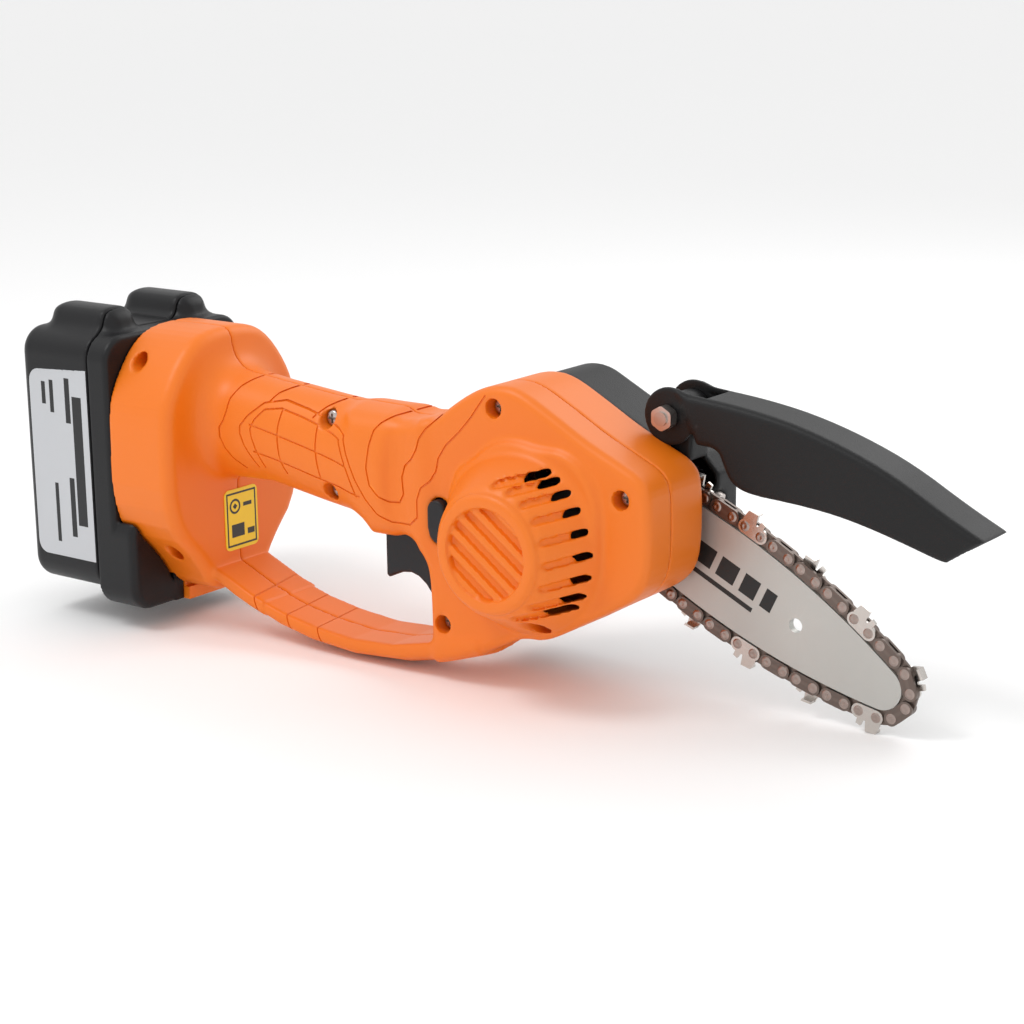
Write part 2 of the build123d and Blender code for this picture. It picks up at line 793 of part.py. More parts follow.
with BuildPart() as bearing_balls:
    with Locations(Plane.XZ.offset(bearing_width / 2 - bearing_front_y)):
        with PolarLocations(race_radius, 9):
            Sphere(ball_radius)
bearing_balls.part.label = "bearing_balls"

with BuildPart() as spindle_spacer:
    with BuildSketch(side(-sprocket_width / 2)):
        Circle(shaft_radius + 0.9)
        Circle(shaft_radius, mode=Mode.SUBTRACT)
    extrude(amount=-sprocket_width / 2 - bearing_front_y)
spindle_spacer.part.label = "spindle_spacer"

rear_link = min(link_places, key=lambda place: place.position.X)
sprocket_phase = atan2(rear_link.position.Y, rear_link.position.X)
sprocket_tip, sprocket_root = 8.6, 5.5


def sprocket_outline():
    points = []
    for tooth in range(sprocket_teeth):
        middle = sprocket_phase + (2 * tooth + 1) * sprocket_step
        for radius, lean in ((sprocket_root, -14), (sprocket_tip, -10), (sprocket_tip, 10), (sprocket_root, 14)):
            angle = middle + radians(lean)
            points.append((radius * cos(angle), radius * sin(angle)))
    Polyline(*points, close=True)


with BuildPart() as chain_sprocket:
    with BuildSketch(bar_side(sprocket_width / 2)):
        with BuildLine():
            sprocket_outline()
        make_face()
        Circle(shaft_radius, mode=Mode.SUBTRACT)
    extrude(amount=sprocket_width)
    with BuildSketch(side(sprocket_width / 2 + 0.4)):
        Circle(sprocket_root)
        Circle(shaft_radius, mode=Mode.SUBTRACT)
    extrude(amount=0.4)
chain_sprocket.part.label = "chain_sprocket"

# Guide bar: two side plates on a thinner core, which leaves the groove for the drive links
bar_tail = 15.0


def bar_holes():
    slot_middle = (stud_places[0] + stud_places[1] + tension_travel) / 2
    slot_span = stud_places[1] - stud_places[0] + tension_travel
    with Locations((slot_middle, 0)):
        SlotCenterToCenter(slot_span, 2 * (stud_radius + 0.15), mode=Mode.SUBTRACT)
    with Locations((block_place, pin_line)):
        Circle(tension_radius + hole_fit, mode=Mode.SUBTRACT)
    with Locations((nose_hole_distance, 0)):
        Circle(nose_hole_radius, mode=Mode.SUBTRACT)


core_half = gauge / 2 + 0.05
with BuildPart() as bar_side_plates:
    for y in (bar_half, -core_half):
        with BuildSketch(bar_side(y)):
            with BuildLine():
                rail_outline(rail_inset, bar_tail)
            make_face()
            bar_holes()
        extrude(amount=bar_half - core_half)
bar_side_plates.part.label = "bar_side_plates"

with BuildPart() as bar_core:
    with BuildSketch(bar_side(core_half)):
        with BuildLine():
            rail_outline(rail_inset + groove_depth, bar_tail + 4)
        make_face()
        bar_holes()
    extrude(amount=2 * core_half)
bar_core.part.label = "bar_core"

# Chain
with BuildPart() as chain_drive_links:
    with BuildSketch(bar_side(gauge / 2)):
        with BuildSketch(mode=Mode.PRIVATE) as drive_link:
            SlotCenterToCenter(link_pitch, 2 * plate_half_height)
            with BuildLine():
                Polyline((-3.6, -1), (3.6, -1), (1.2, -tang_depth), (-1.2, -tang_depth), close=True)
            make_face()
            with GridLocations(link_pitch, 1, 2, 1):
                Circle(rivet_radius + hole_fit, mode=Mode.SUBTRACT)
        for place in link_places:
            add(drive_link.sketch.moved(place))
    extrude(amount=gauge)
chain_drive_links.part.label = "chain_drive_links"


def strap_shape():
    SlotCenterToCenter(strap_pitch, 2 * plate_half_height)
    with GridLocations(strap_pitch, 1, 2, 1):
        Circle(rivet_radius + hole_fit, mode=Mode.SUBTRACT)


def plates(y_far, places, shape):
    """Plates of one row of the chain, whose faces furthest to +Y lie at y_far."""
    with BuildPart(mode=Mode.PRIVATE) as row:
        with BuildSketch(bar_side(y_far)):
            for place in places:
                add(shape.moved(place))
        extrude(amount=strap_thickness)
    return row.part


with BuildSketch(mode=Mode.PRIVATE) as tie_strap:
    strap_shape()

far_row = tie_y + strap_thickness
near_row = -tie_y
with BuildPart() as chain_tie_straps:
    add(plates(far_row, plain_places + left_places, tie_strap.sketch))
    add(plates(near_row, plain_places + right_places, tie_strap.sketch))
chain_tie_straps.part.label = "chain_tie_straps"

with BuildSketch(mode=Mode.PRIVATE) as cutter_side:
    strap_shape()
    with BuildLine():
        Polyline(
            (3.2, 1.2), (3.5, 4.6), (1.6, 5.0), (0.9, 2.3), (0.2, 2.3),
            (-0.6, cutter_height), (-4.6, cutter_height - 0.5), (-5.4, 2.4), (-4.4, 0.6), close=True,
        )
    make_face()
    with GridLocations(strap_pitch, 1, 2, 1):
        Circle(rivet_radius + hole_fit, mode=Mode.SUBTRACT)
with BuildSketch(mode=Mode.PRIVATE) as cutter_top:
    with BuildLine():
        Polyline(
            (-0.6, cutter_height), (-4.6, cutter_height - 0.5), (-4.5, cutter_height - 1.4),
            (-0.8, cutter_height - 0.9), close=True,
        )
    make_face()
cutter_reach = 3.6


def cutters(y_plate, y_top, places):
    with BuildPart(mode=Mode.PRIVATE) as row:
        add(plates(y_plate, places, cutter_side.sketch))
        with BuildSketch(bar_side(y_top)):
            for place in places:
                add(cutter_top.sketch.moved(place))
        extrude(amount=cutter_reach)
    return row.part


with BuildPart() as chain_left_cutters:
    add(cutters(near_row, near_row - strap_thickness + cutter_reach, left_places))
chain_left_cutters.part.label = "chain_left_cutters"

with BuildPart() as chain_right_cutters:
    add(cutters(far_row, far_row, right_places))
chain_right_cutters.part.label = "chain_right_cutters"

with BuildPart() as chain_rivets:
    with BuildSketch(bar_side(far_row + 0.35)):
        with Locations(*rivet_points):
            Circle(rivet_radius)
    extrude(amount=2 * far_row + 0.7)
    for y in (far_row + 0.35, near_row - strap_thickness):
        with BuildSketch(bar_side(y)):
            with Locations(*rivet_points):
                Circle(rivet_head_radius)
        extrude(amount=0.35)
chain_rivets.part.label = "chain_rivets"

# Bar studs, nuts and the chain tensioner
stud_end_y = cover_far_y + 6.0
with BuildPart() as bar_studs:
    with BuildSketch(bar_side(stud_end_y)):
        with Locations(*[(place, 0) for place in stud_places]):
            Circle(stud_radius)
    extrude(amount=stud_end_y - head_far_y + 5)
    with BuildSketch(bar_side(head_far_y - 5)):
        with Locations(*[(place, 0) for place in stud_places]):
            RegularPolygon(4.6, 6, major_radius=False)
    extrude(amount=2.6)
bar_studs.part.label = "bar_studs"

cover_nut = hex_nut(10.0, 5.0, stud_radius)
with BuildPart() as cover_nuts:
    for spot in spots(bar_side(cover_far_y), [(place, 0) for place in stud_places]):
        add((spot.location * Rotation(180, 0, 0)) * cover_nut)
cover_nuts.part.label = "cover_nuts"

screw_start, screw_stop = 20.0, 51.0  # of the tensioner's shank, along the bar
bracket_span = 4.0
tension_head_radius = 3.2


def along_bar(distance, up, y):
    """A plane square to the bar's centre line, facing forward along it."""
    x, z = from_bar(distance, up)
    tilt = radians(bar_tilt)
    return Plane(origin=(x, y, z), x_dir=(0, 1, 0), z_dir=(cos(tilt), 0, -sin(tilt)))


with BuildPart() as tensioner_screw:
    with BuildSketch(along_bar(screw_start, tension_line, tension_y)):
        Circle(tension_radius)
    extrude(amount=screw_stop - screw_start)
    with BuildSketch(along_bar(screw_stop, tension_line, tension_y)):
        Circle(tension_head_radius)
    extrude(amount=2.4)
    with BuildSketch(along_bar(screw_stop + 2.4, tension_line, tension_y)):
        Rectangle(8, 0.9)
    extrude(amount=-1.1, mode=Mode.SUBTRACT)
    with BuildSketch(along_bar(screw_stop - bracket_span - 0.4, tension_line, tension_y)):
        Circle(tension_radius + 1)
    extrude(amount=-1.5)
tensioner_screw.part.label = "tensioner_screw"

block_length = 8.0
block_near_y = 3.2
pin_boss_radius = 3.3
with BuildPart() as tensioner_block:
    with BuildSketch(bar_side(tension_y + 4)):
        with Locations((block_place, (pin_line + tension_line) / 2 + 0.5)):
            RectangleRounded(block_length, tension_line - pin_line + 8, 1.5)
    extrude(amount=tension_y + 4 - block_near_y)
    with BuildSketch(bar_side(block_near_y)):
        with Locations((block_place, pin_line)):
            Circle(pin_boss_radius)
    extrude(amount=block_near_y - bar_half)
    with BuildSketch(bar_side(bar_half)):
        with Locations((block_place, pin_line)):
            Circle(tension_radius)
    extrude(amount=bar_thickness)
    with BuildSketch(along_bar(block_place - block_length, tension_line, tension_y)):
        Circle(tension_radius + hole_fit)
    extrude(amount=2 * block_length, mode=Mode.SUBTRACT)
tensioner_block.part.label = "tensioner_block"

# Sprocket cover, with the lug that carries the guard
lug_radius = 7.4
lug_half = guard_width / 2 - guard_wall - slide_fit
cover_near_y = head_far_y + face_gap
cover_back_x = -31.0
mouth_y = 6.5  # the chain leaves the cover between the head and this y

with BuildPart() as sprocket_cover:
    with BuildSketch(side(cover_far_y)):
        with BuildLine():
            head_outline()
        make_face()
        offset(amount=-cover_inset)
        with Locations((cover_back_x, 0)):
            Rectangle(40, 200, align=(Align.MAX, Align.CENTER), mode=Mode.SUBTRACT)
    extrude(amount=cover_far_y - cover_near_y)
    with BuildSketch(side(lug_half)):
        with BuildLine():
            Polyline(
                (guard_pivot[0] - lug_radius, guard_pivot[1]),
                (guard_pivot[0] - lug_radius - 4, 12.0),
                (guard_pivot[0] + 6, 5.0),
                (guard_pivot[0] + lug_radius, guard_pivot[1]),
                close=True,
            )
        make_face()
    extrude(amount=lug_half - cover_near_y)
    with BuildSketch(side(cover_far_y - cover_wall)):
        with BuildLine():
            head_outline()
        make_face()
        offset(amount=-(cover_inset + cover_wall))
        with Locations((cover_back_x + cover_wall, 0)):
            Rectangle(40, 200, align=(Align.MAX, Align.CENTER), mode=Mode.SUBTRACT)
    extrude(amount=cover_far_y - cover_near_y, mode=Mode.SUBTRACT)
    with BuildSketch(side(lug_half)):
        with Locations(guard_pivot):
            Circle(lug_radius)
    extrude(amount=2 * lug_half)
    with BuildSketch(side(lug_half)):
        with Locations(guard_pivot):
            Circle(guard_bolt_radius + hole_fit)
    extrude(amount=2 * lug_half, mode=Mode.SUBTRACT)
    with BuildSketch(bar_side(mouth_y)):
        with Locations((62, -8)):
            Rectangle(60, 74)
    extrude(amount=mouth_y - cover_near_y + 1, mode=Mode.SUBTRACT)
    with BuildSketch(bar_side(cover_far_y - 1)):
        with Locations(*[(place, 0) for place in stud_places]):
            Circle(stud_boss_radius)
        with Locations(
            (screw_start + bracket_span, tension_line), (screw_stop - bracket_span / 2, tension_line)
        ):
            Rectangle(bracket_span, 8)
    extrude(amount=cover_far_y - 1 - tension_y + 3.6)
    with BuildSketch(bar_side(cover_far_y - 1)):
        with Locations(*[(place, 0) for place in stud_places]):
            Circle(stud_boss_radius)
    extrude(amount=cover_far_y - 1 - bar_half - hole_fit)
    with BuildSketch(bar_side(cover_far_y)):
        with Locations(*[(place, 0) for place in stud_places]):
            Circle(stud_radius + hole_fit)
    extrude(amount=cover_far_y, mode=Mode.SUBTRACT)
    with BuildSketch(along_bar(screw_start, tension_line, tension_y)):
        Circle(tension_radius + hole_fit)
    extrude(amount=screw_stop - screw_start, mode=Mode.SUBTRACT)
    with BuildSketch(along_bar(screw_stop, tension_line, tension_y)):
        Circle(tension_head_radius + 0.4)
    extrude(amount=12, mode=Mode.SUBTRACT)
sprocket_cover.part.label = "sprocket_cover"

# Guard over the chain, open below, hinged on the cover's lug
tip_top, tip_bottom = (165.7, -2.7), (152.0, -12.0)


def guard_outline():
    ear = ThreePointArc(
        (guard_pivot[0] - 1.5, guard_pivot[1] - guard_ear_radius),
        (guard_pivot[0] - guard_ear_radius, guard_pivot[1]),
        (guard_pivot[0] + 2.5, guard_pivot[1] + guard_ear_radius + 0.3),
    )
    shoulder = Line(ear @ 1, (57, 32.4))
    back = ThreePointArc(shoulder @ 1, (95, 27.7), (131, 16.3))
    Line(back @ 1, tip_top)
    Line(tip_top, tip_bottom)
    lower = ThreePointArc(tip_bottom, (117, -3.2), (80, 0.6))
    corner = ThreePointArc(lower @ 1, (72.2, 3.2), (68.2, 9.0))
    Polyline(corner @ 1, (65.0, 15.0), ear @ 0)


with BuildPart() as guard:
    with BuildSketch(side(guard_width / 2)):
        with BuildLine():
            guard_outline()
        make_face()
    extrude(amount=guard_width)
    with BuildSketch(side(guard_width / 2 - guard_wall)):
        for drop in (0, 4, 8, 12):
            with BuildSketch(mode=Mode.PRIVATE) as inner:
                with BuildLine():
                    guard_outline()
                make_face()
                offset(amount=-guard_wall)
            add(inner.sketch.moved(Location((0, -drop, 0))))
        with Locations((guard_pivot[0] + 8, guard_pivot[1])):
            Rectangle(40, 40, align=(Align.MAX, Align.CENTER))
    extrude(amount=guard_width - 2 * guard_wall, mode=Mode.SUBTRACT)
    with BuildSketch(side(guard_width)):
        with Locations(guard_pivot):
            Circle(guard_bolt_radius + running_fit)
    extrude(amount=2 * guard_width, mode=Mode.SUBTRACT)
guard.part.label = "guard"

bolt_head = 3.4
guard_nut_height = 4.0
with BuildPart() as guard_bolt:
    with BuildSketch(side(guard_width / 2 + hole_fit)):
        with Locations(guard_pivot):
            Circle(guard_bolt_radius)
    extrude(amount=guard_width + guard_nut_height + 0.8)
    with BuildSketch(side(guard_width / 2 + hole_fit)):
        with Locations(guard_pivot):
            Circle(4.6)
    extrude(amount=-bolt_head)
    fillet(guard_bolt.edges().group_by(Axis.Y)[-1], 1.2)
    with BuildSketch(side(guard_width / 2 + bolt_head)):
        with Locations(guard_pivot):
            RegularPolygon(2, 6)
    extrude(amount=2, mode=Mode.SUBTRACT)
guard_bolt.part.label = "guard_bolt"

with BuildPart() as guard_nut:
    nut_place = side(-guard_width / 2 - hole_fit).from_local_coords((*guard_pivot, 0))
    with Locations(Plane(nut_place, z_dir=(0, -1, 0))):
        add(hex_nut(8.0, guard_nut_height, guard_bolt_radius))
guard_nut.part.label = "guard_nut"


def coil(radius, wire, turns, length):
    """A compression spring along Z from z = 0."""
    pitch = (length - wire) / turns
    with BuildPart(mode=Mode.PRIVATE) as spring:
        with BuildLine(Plane.XY.offset(wire / 2)) as path:
            Helix(pitch, length - wire, radius)
        with BuildSketch(Plane(path.line @ 0, z_dir=path.line % 0)):
            Circle(wire / 2)
        sweep(path=path.line, is_frenet=True)
    return spring.part


# Trigger, which slides up into the body against its spring, and the switch above it
trigger_top = -16.0
stem_radius = 2.0
stem_top = -6.6
switch_bottom = stem_top - 0.6
trigger_x = -53.2
with BuildPart() as trigger:
    with BuildSketch(side(parting_y + trigger_width / 2)):
        with BuildLine():
            Polyline((-63.4, -45.2), (-64.6, -44.4), (-64.6, trigger_top), (-42, trigger_top), (-42, -49.5))
            ThreePointArc((-42, -49.5), (-52.5, -41.8), (-63.4, -45.2))
        make_face()
    extrude(amount=trigger_width)
    with BuildSketch(Plane.XY.offset(trigger_top)):
        with Locations((trigger_x, parting_y)):
            Rectangle(26, trigger_width + 5)
    extrude(amount=-3)
    with BuildSketch(Plane.XY.offset(trigger_top)):
        with Locations((trigger_x, parting_y)):
            Circle(stem_radius)
    extrude(amount=stem_top - trigger_top)
trigger.part.label = "trigger"

with BuildPart() as trigger_spring:
    spring_length = switch_bottom - trigger_top - 0.2
    add(Pos(trigger_x, parting_y, trigger_top + 0.1) * coil(stem_radius + 1.0, 0.6, 5, spring_length))
trigger_spring.part.label = "trigger_spring"

with BuildPart() as switch_body:
    with BuildSketch(Plane.XY.offset(switch_bottom)):
        with Locations((trigger_x, parting_y)):
            RectangleRounded(22, 18, 1.5)
    extrude(amount=15)
    with BuildSketch(Plane.XY.offset(switch_bottom)):
        with Locations((trigger_x, parting_y)):
            Circle(stem_radius + slide_fit)
    extrude(amount=trigger_travel + 1.5, mode=Mode.SUBTRACT)
switch_body.part.label = "switch_body"

# Lock-off button, pressed in towards +Y
lock_face_y = head_near_y - 2.6
lock_flange_y = head_near_y + shell_wall + 0.6
lock_back_y = lock_flange_y + 2.0
post_y = parting_y + 1.0
with BuildPart() as lock_button:
    with BuildSketch(side(lock_back_y)):
        with Locations(lock_place):
            RectangleRounded(*lock_size, lock_size[0] / 2 - 0.1)
    extrude(amount=lock_back_y - lock_face_y)
    fillet(lock_button.edges().group_by(Axis.Y)[0], 1.0)
    with BuildSketch(side(lock_back_y)):
        with Locations(lock_place):
            RectangleRounded(lock_size[0] + 1.6, lock_size[1] + 1.6, 4)
    extrude(amount=lock_back_y - lock_flange_y)
lock_button.part.label = "lock_button"

with BuildPart() as lock_spring:
    place = Plane((lock_place[0], lock_back_y + 0.1, lock_place[1]), z_dir=(0, 1, 0))
    add(place.location * coil(2.4, 0.6, 4, post_y - lock_back_y - 0.2))
lock_spring.part.label = "lock_spring"

# Battery dock in the foot, with rails that hold the battery's tongue, and its contact blades
dock_front_x = foot_rear_x + dock_depth
channel_x = foot_rear_x + tongue_depth + slide_fit
lip_x = channel_x - 3.6
blade_offsets = (-9.0, 0.0, 9.0)
blade_thickness = 0.8
with BuildPart() as battery_dock:
    with BuildSketch(Plane.XY.offset(dock_bottom)):
        with Locations(((foot_rear_x + 0.2 + dock_front_x) / 2, parting_y)):
            Rectangle(dock_depth - 0.2, dock_width)
    extrude(amount=dock_top - dock_bottom)
    with BuildSketch(Plane.XY.offset(dock_bottom)):
        with Locations((channel_x, parting_y)):
            Rectangle(3.6, tongue_width + 2 * slide_fit, align=(Align.MAX, Align.CENTER))
            Rectangle(30, tongue_neck + 2 * slide_fit, align=(Align.MAX, Align.CENTER))
    extrude(amount=tongue_top + slide_fit - dock_bottom, mode=Mode.SUBTRACT)
    with BuildSketch(Plane.YZ.offset(channel_x)):
        with Locations(*[(parting_y + y, 8) for y in blade_offsets]):
            Rectangle(blade_thickness, 14)
        with Locations((parting_y, -36)):
            Rectangle(12, 6)
    extrude(amount=5, mode=Mode.SUBTRACT)
battery_dock.part.label = "battery_dock"

with BuildPart() as dock_blades:
    with BuildSketch(Plane.YZ.offset(channel_x - 6)):
        with Locations(*[(parting_y + y, 8) for y in blade_offsets]):
            Rectangle(blade_thickness, 14)
    extrude(amount=12)
dock_blades.part.label = "dock_blades"

# Battery pack
battery_front_x = foot_rear_x - slide_fit
corner = 11.0


def battery_section(trim, low, high):
    """The pack seen from behind, standing between two heights."""
    middle = (low + high) / 2
    with BuildSketch(mode=Mode.PRIVATE) as section:
        with Locations((0, middle)):
            RectangleRounded(battery_width - 2 * trim, high - low - 2 * trim, corner - trim)
    return section.sketch


lump_offset = 20.0
lump_width = 17.0
battery_plane = Plane(origin=(0, parting_y, 0), x_dir=(0, 1, 0), z_dir=(1, 0, 0))
with BuildPart() as battery_rear_shell:
    with BuildSketch(battery_plane.offset(battery_rear_x)):
        add(battery_section(0, battery_bottom, battery_top))
    extrude(amount=battery_seam_x - battery_rear_x)
    fillet(battery_rear_shell.edges().group_by(Axis.X)[0], 4)
    with BuildSketch(battery_plane.offset(battery_rear_x + 6)):
        with Locations(*[(y, battery_top - 4) for y in (-lump_offset, lump_offset)]):
            RectangleRounded(lump_width, 2 * lump_height + 8, 6)
    extrude(amount=battery_seam_x - battery_rear_x - 6)
    with BuildSketch(battery_plane.offset(battery_rear_x + battery_wall)):
        add(battery_section(battery_wall, battery_bottom, battery_top))
    extrude(amount=50, mode=Mode.SUBTRACT)
battery_rear_shell.part.label = "battery_rear_shell"

with BuildPart() as battery_front_shell:
    with BuildSketch(battery_plane.offset(battery_seam_x)):
        add(battery_section(0, shoulder_bottom, battery_top))
    extrude(amount=battery_front_x - battery_seam_x)
    with BuildSketch(battery_plane.offset(battery_seam_x)):
        with Locations(*[(y, battery_top - 4) for y in (-lump_offset, lump_offset)]):
            RectangleRounded(lump_width, 2 * lump_height + 8, 6)
    extrude(amount=5)
    with BuildSketch(Plane.XY.offset(shoulder_bottom + 0.5)):
        with Locations((battery_front_x, parting_y)):
            Rectangle(tongue_depth, tongue_neck, align=(Align.MIN, Align.CENTER))
        with Locations((battery_front_x + tongue_depth, parting_y)):
            Rectangle(3.0, tongue_width, align=(Align.MAX, Align.CENTER))
    extrude(amount=tongue_top - shoulder_bottom - 0.5)
    with BuildSketch(battery_plane.offset(battery_seam_x)):
        add(battery_section(battery_wall, battery_bottom, battery_top))
    extrude(amount=battery_front_x - battery_seam_x - battery_wall, mode=Mode.SUBTRACT)
    with BuildSketch(Plane.XY.offset(tongue_top)):
        with Locations(*[(battery_front_x + tongue_depth, parting_y + y) for y in blade_offsets]):
            Rectangle(8, blade_thickness + 1, align=(Align.MAX, Align.CENTER))
    extrude(amount=-22, mode=Mode.SUBTRACT)
    with BuildSketch(Plane.XY.offset(shoulder_bottom)):
        with Locations((battery_front_x + tongue_depth, parting_y)):
            Rectangle(7, 22, align=(Align.MAX, Align.CENTER))
    extrude(amount=dock_bottom - shoulder_bottom + 12, mode=Mode.SUBTRACT)
battery_front_shell.part.label = "battery_front_shell"

release_travel = 3.0
release_x = battery_front_x + tongue_depth
with BuildPart() as release_button:
    with BuildSketch(Plane.XY.offset(shoulder_bottom + 0.5)):
        with Locations((release_x, parting_y)):
            Rectangle(3.4, 21.4, align=(Align.MAX, Align.CENTER))
    extrude(amount=dock_bottom - shoulder_bottom + 8)
    with BuildSketch(Plane.XY.offset(-38.5)):
        with Locations((release_x - 1, parting_y)):
            Rectangle(3.8, 11.0, align=(Align.MIN, Align.CENTER))
    extrude(amount=4)
    with BuildSketch(Plane.XY.offset(shoulder_bottom + 0.5)):
        with Locations((release_x - 1, parting_y)):
            Rectangle(3.4, 21.4, align=(Align.MIN, Align.CENTER))
    extrude(amount=5)
release_button.part.label = "release_button"

with BuildPart() as release_spring:
    place = Plane((release_x - 3.5, parting_y, -50), z_dir=(-1, 0, 0))
    add(place.location * coil(2.4, 0.6, 3, 3.3))
release_spring.part.label = "release_spring"

cell_pitch = 2 * cell_radius + 0.3
cell_x = [battery_rear_x + battery_wall + 0.6 + cell_radius + n * cell_pitch for n in range(2)]
cell_z = [
    (battery_top + battery_bottom) / 2 + (n - (cell_rows - 1) / 2) * cell_pitch for n in range(cell_rows)
]
with BuildPart() as battery_cells:
    with BuildSketch(side(parting_y + cell_length / 2)):
        with Locations(*[(x, z) for x in cell_x for z in cell_z]):
            Circle(cell_radius)
    extrude(amount=cell_length)
battery_cells.part.label = "battery_cells"

frame_thickness = 5.0
with BuildPart() as cell_frames:
    for y in (parting_y + cell_length / 2 - 6, parting_y - cell_length / 2 + 6 + frame_thickness):
        with BuildSketch(side(y)):
            with Locations(((cell_x[0] + cell_x[1]) / 2, (battery_top + battery_bottom) / 2)):
                Rectangle(2 * cell_pitch - 0.2, cell_rows * cell_pitch + 1.5)
            with Locations(*[(x, z) for x in cell_x for z in cell_z]):
                Circle(cell_radius + 0.02, mode=Mode.SUBTRACT)
        extrude(amount=frame_thickness)
cell_frames.part.label = "cell_frames"

with BuildPart() as cell_straps:
    for y in (parting_y + cell_length / 2 + 0.3, parting_y - cell_length / 2):
        with BuildSketch(side(y)):
            with Locations(*[((cell_x[0] + cell_x[1]) / 2, z) for z in cell_z]):
                Rectangle(cell_pitch + 8, 8)
        extrude(amount=0.3)
cell_straps.part.label = "cell_straps"

with BuildPart() as battery_board:
    with BuildSketch(Plane.YZ.offset(cell_x[1] + cell_radius + 0.6)):
        with Locations((parting_y, (battery_top + battery_bottom) / 2)):
            RectangleRounded(50, 80, 3)
    extrude(amount=1.6)
battery_board.part.label = "battery_board"

label_thickness = 0.3
with BuildPart() as battery_label:
    with BuildSketch(side(parting_y - battery_width / 2)):
        with BuildLine():
            Polyline(
                (battery_seam_x - 0.6, battery_top - 14),
                (battery_rear_x + 11, battery_top - 14),
                (battery_rear_x + 5, battery_top - 20),
                (battery_rear_x + 5, battery_bottom + 19),
                (battery_rear_x + 13, battery_bottom + 12),
                (battery_seam_x - 0.6, battery_bottom + 12),
                close=True,
            )
        make_face()
    extrude(amount=label_thickness)
battery_label.part.label = "battery_label"

sticker_thickness = 0.3
with BuildPart() as foot_sticker:
    with BuildSketch(Plane.YZ.offset(foot_front_x)):
        with Locations((-26.0, -35.6)):
            RectangleRounded(18.5, 24.5, 2.5)
    extrude(amount=sticker_thickness)
foot_sticker.part.label = "foot_sticker"

# Leads inside the handle: dock to switch, switch to motor
wire_radius = 1.1


def lead(points, radius):
    with BuildPart(mode=Mode.PRIVATE) as wire:
        with BuildLine() as path:
            FilletPolyline(*points, radius=radius)
        with BuildSketch(Plane(path.line @ 0, z_dir=path.line % 0)):
            Circle(wire_radius)
        sweep(path=path.line)
    return wire.part


switch_rear_x = trigger_x - 11.0
with BuildPart() as supply_leads:
    for y, z in ((parting_y - 9, 2), (parting_y + 9, -2)):
        inner_y = parting_y + (y - parting_y) / 2
        add(
            lead(
                [
                    (channel_x + 6, y, 8),
                    (channel_x + 22, y, 8),
                    (-118, inner_y, 6),
                    (-90, inner_y, z),
                    (switch_rear_x, inner_y, z),
                ],
                8,
            )
        )
supply_leads.part.label = "supply_leads"

switch_front_x = trigger_x + 11.0
terminal_y = motor_rear_y + 12.0
with BuildPart() as motor_leads:
    for z, drop in ((-1.5, 0), (3.0, 1)):
        start = (switch_front_x, parting_y - 3 - 3 * drop, z)
        add(
            lead(
                [
                    start,
                    (switch_front_x + 10, parting_y - 3 - 3 * drop, z),
                    (-27 + 3 * drop, -31 - drop, -4 + 5 * drop),
                    (-17.5 + 3.5 * drop, terminal_y, -12 + 7 * drop),
                    (-13.2 + 4 * drop, terminal_y, -15 + 8 * drop),
                ],
                3.5,
            )
        )
motor_leads.part.label = "motor_leads"

pieces = [
    housing_right, housing_left, shell_screws, motor_can, motor_magnets, motor_end_bell, motor_brushes,
    armature, commutator, motor_shaft, cooling_fan, pinion, drive_gear, gear_plate, spindle_bush,
    plate_screws, motor_screws, spindle, retaining_ring, bearing_outer_ring, bearing_inner_ring,
    bearing_balls, spindle_spacer, chain_sprocket, bar_side_plates, bar_core, chain_drive_links,
    chain_tie_straps, chain_left_cutters, chain_right_cutters, chain_rivets, bar_studs, cover_nuts,
    tensioner_screw, tensioner_block, sprocket_cover, guard, guard_bolt, guard_nut, trigger,
    trigger_spring, switch_body, lock_button, lock_spring, battery_dock, dock_blades,
    battery_rear_shell, battery_front_shell, release_button, release_spring, battery_cells,
    cell_frames, cell_straps, battery_board, battery_label, foot_sticker, supply_leads, motor_leads,
]

# The finished saw stands with the middle of its base at the origin
whole = Compound([piece.part for piece in pieces]).bounding_box()
base = (-(whole.min.X + whole.max.X) / 2, -(whole.min.Y + whole.max.Y) / 2, -whole.min.Z)
for piece in pieces:
    export_step(piece.part.moved(Location(base)), f"parts/{piece.part.label}.step")
print("moved by", [round(value, 4) for value in base], "bar reach", round(bar_reach, 3))
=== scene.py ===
import json
import math

import bmesh
import bpy
import numpy as np
import openvdb
from mathutils import Matrix, Vector


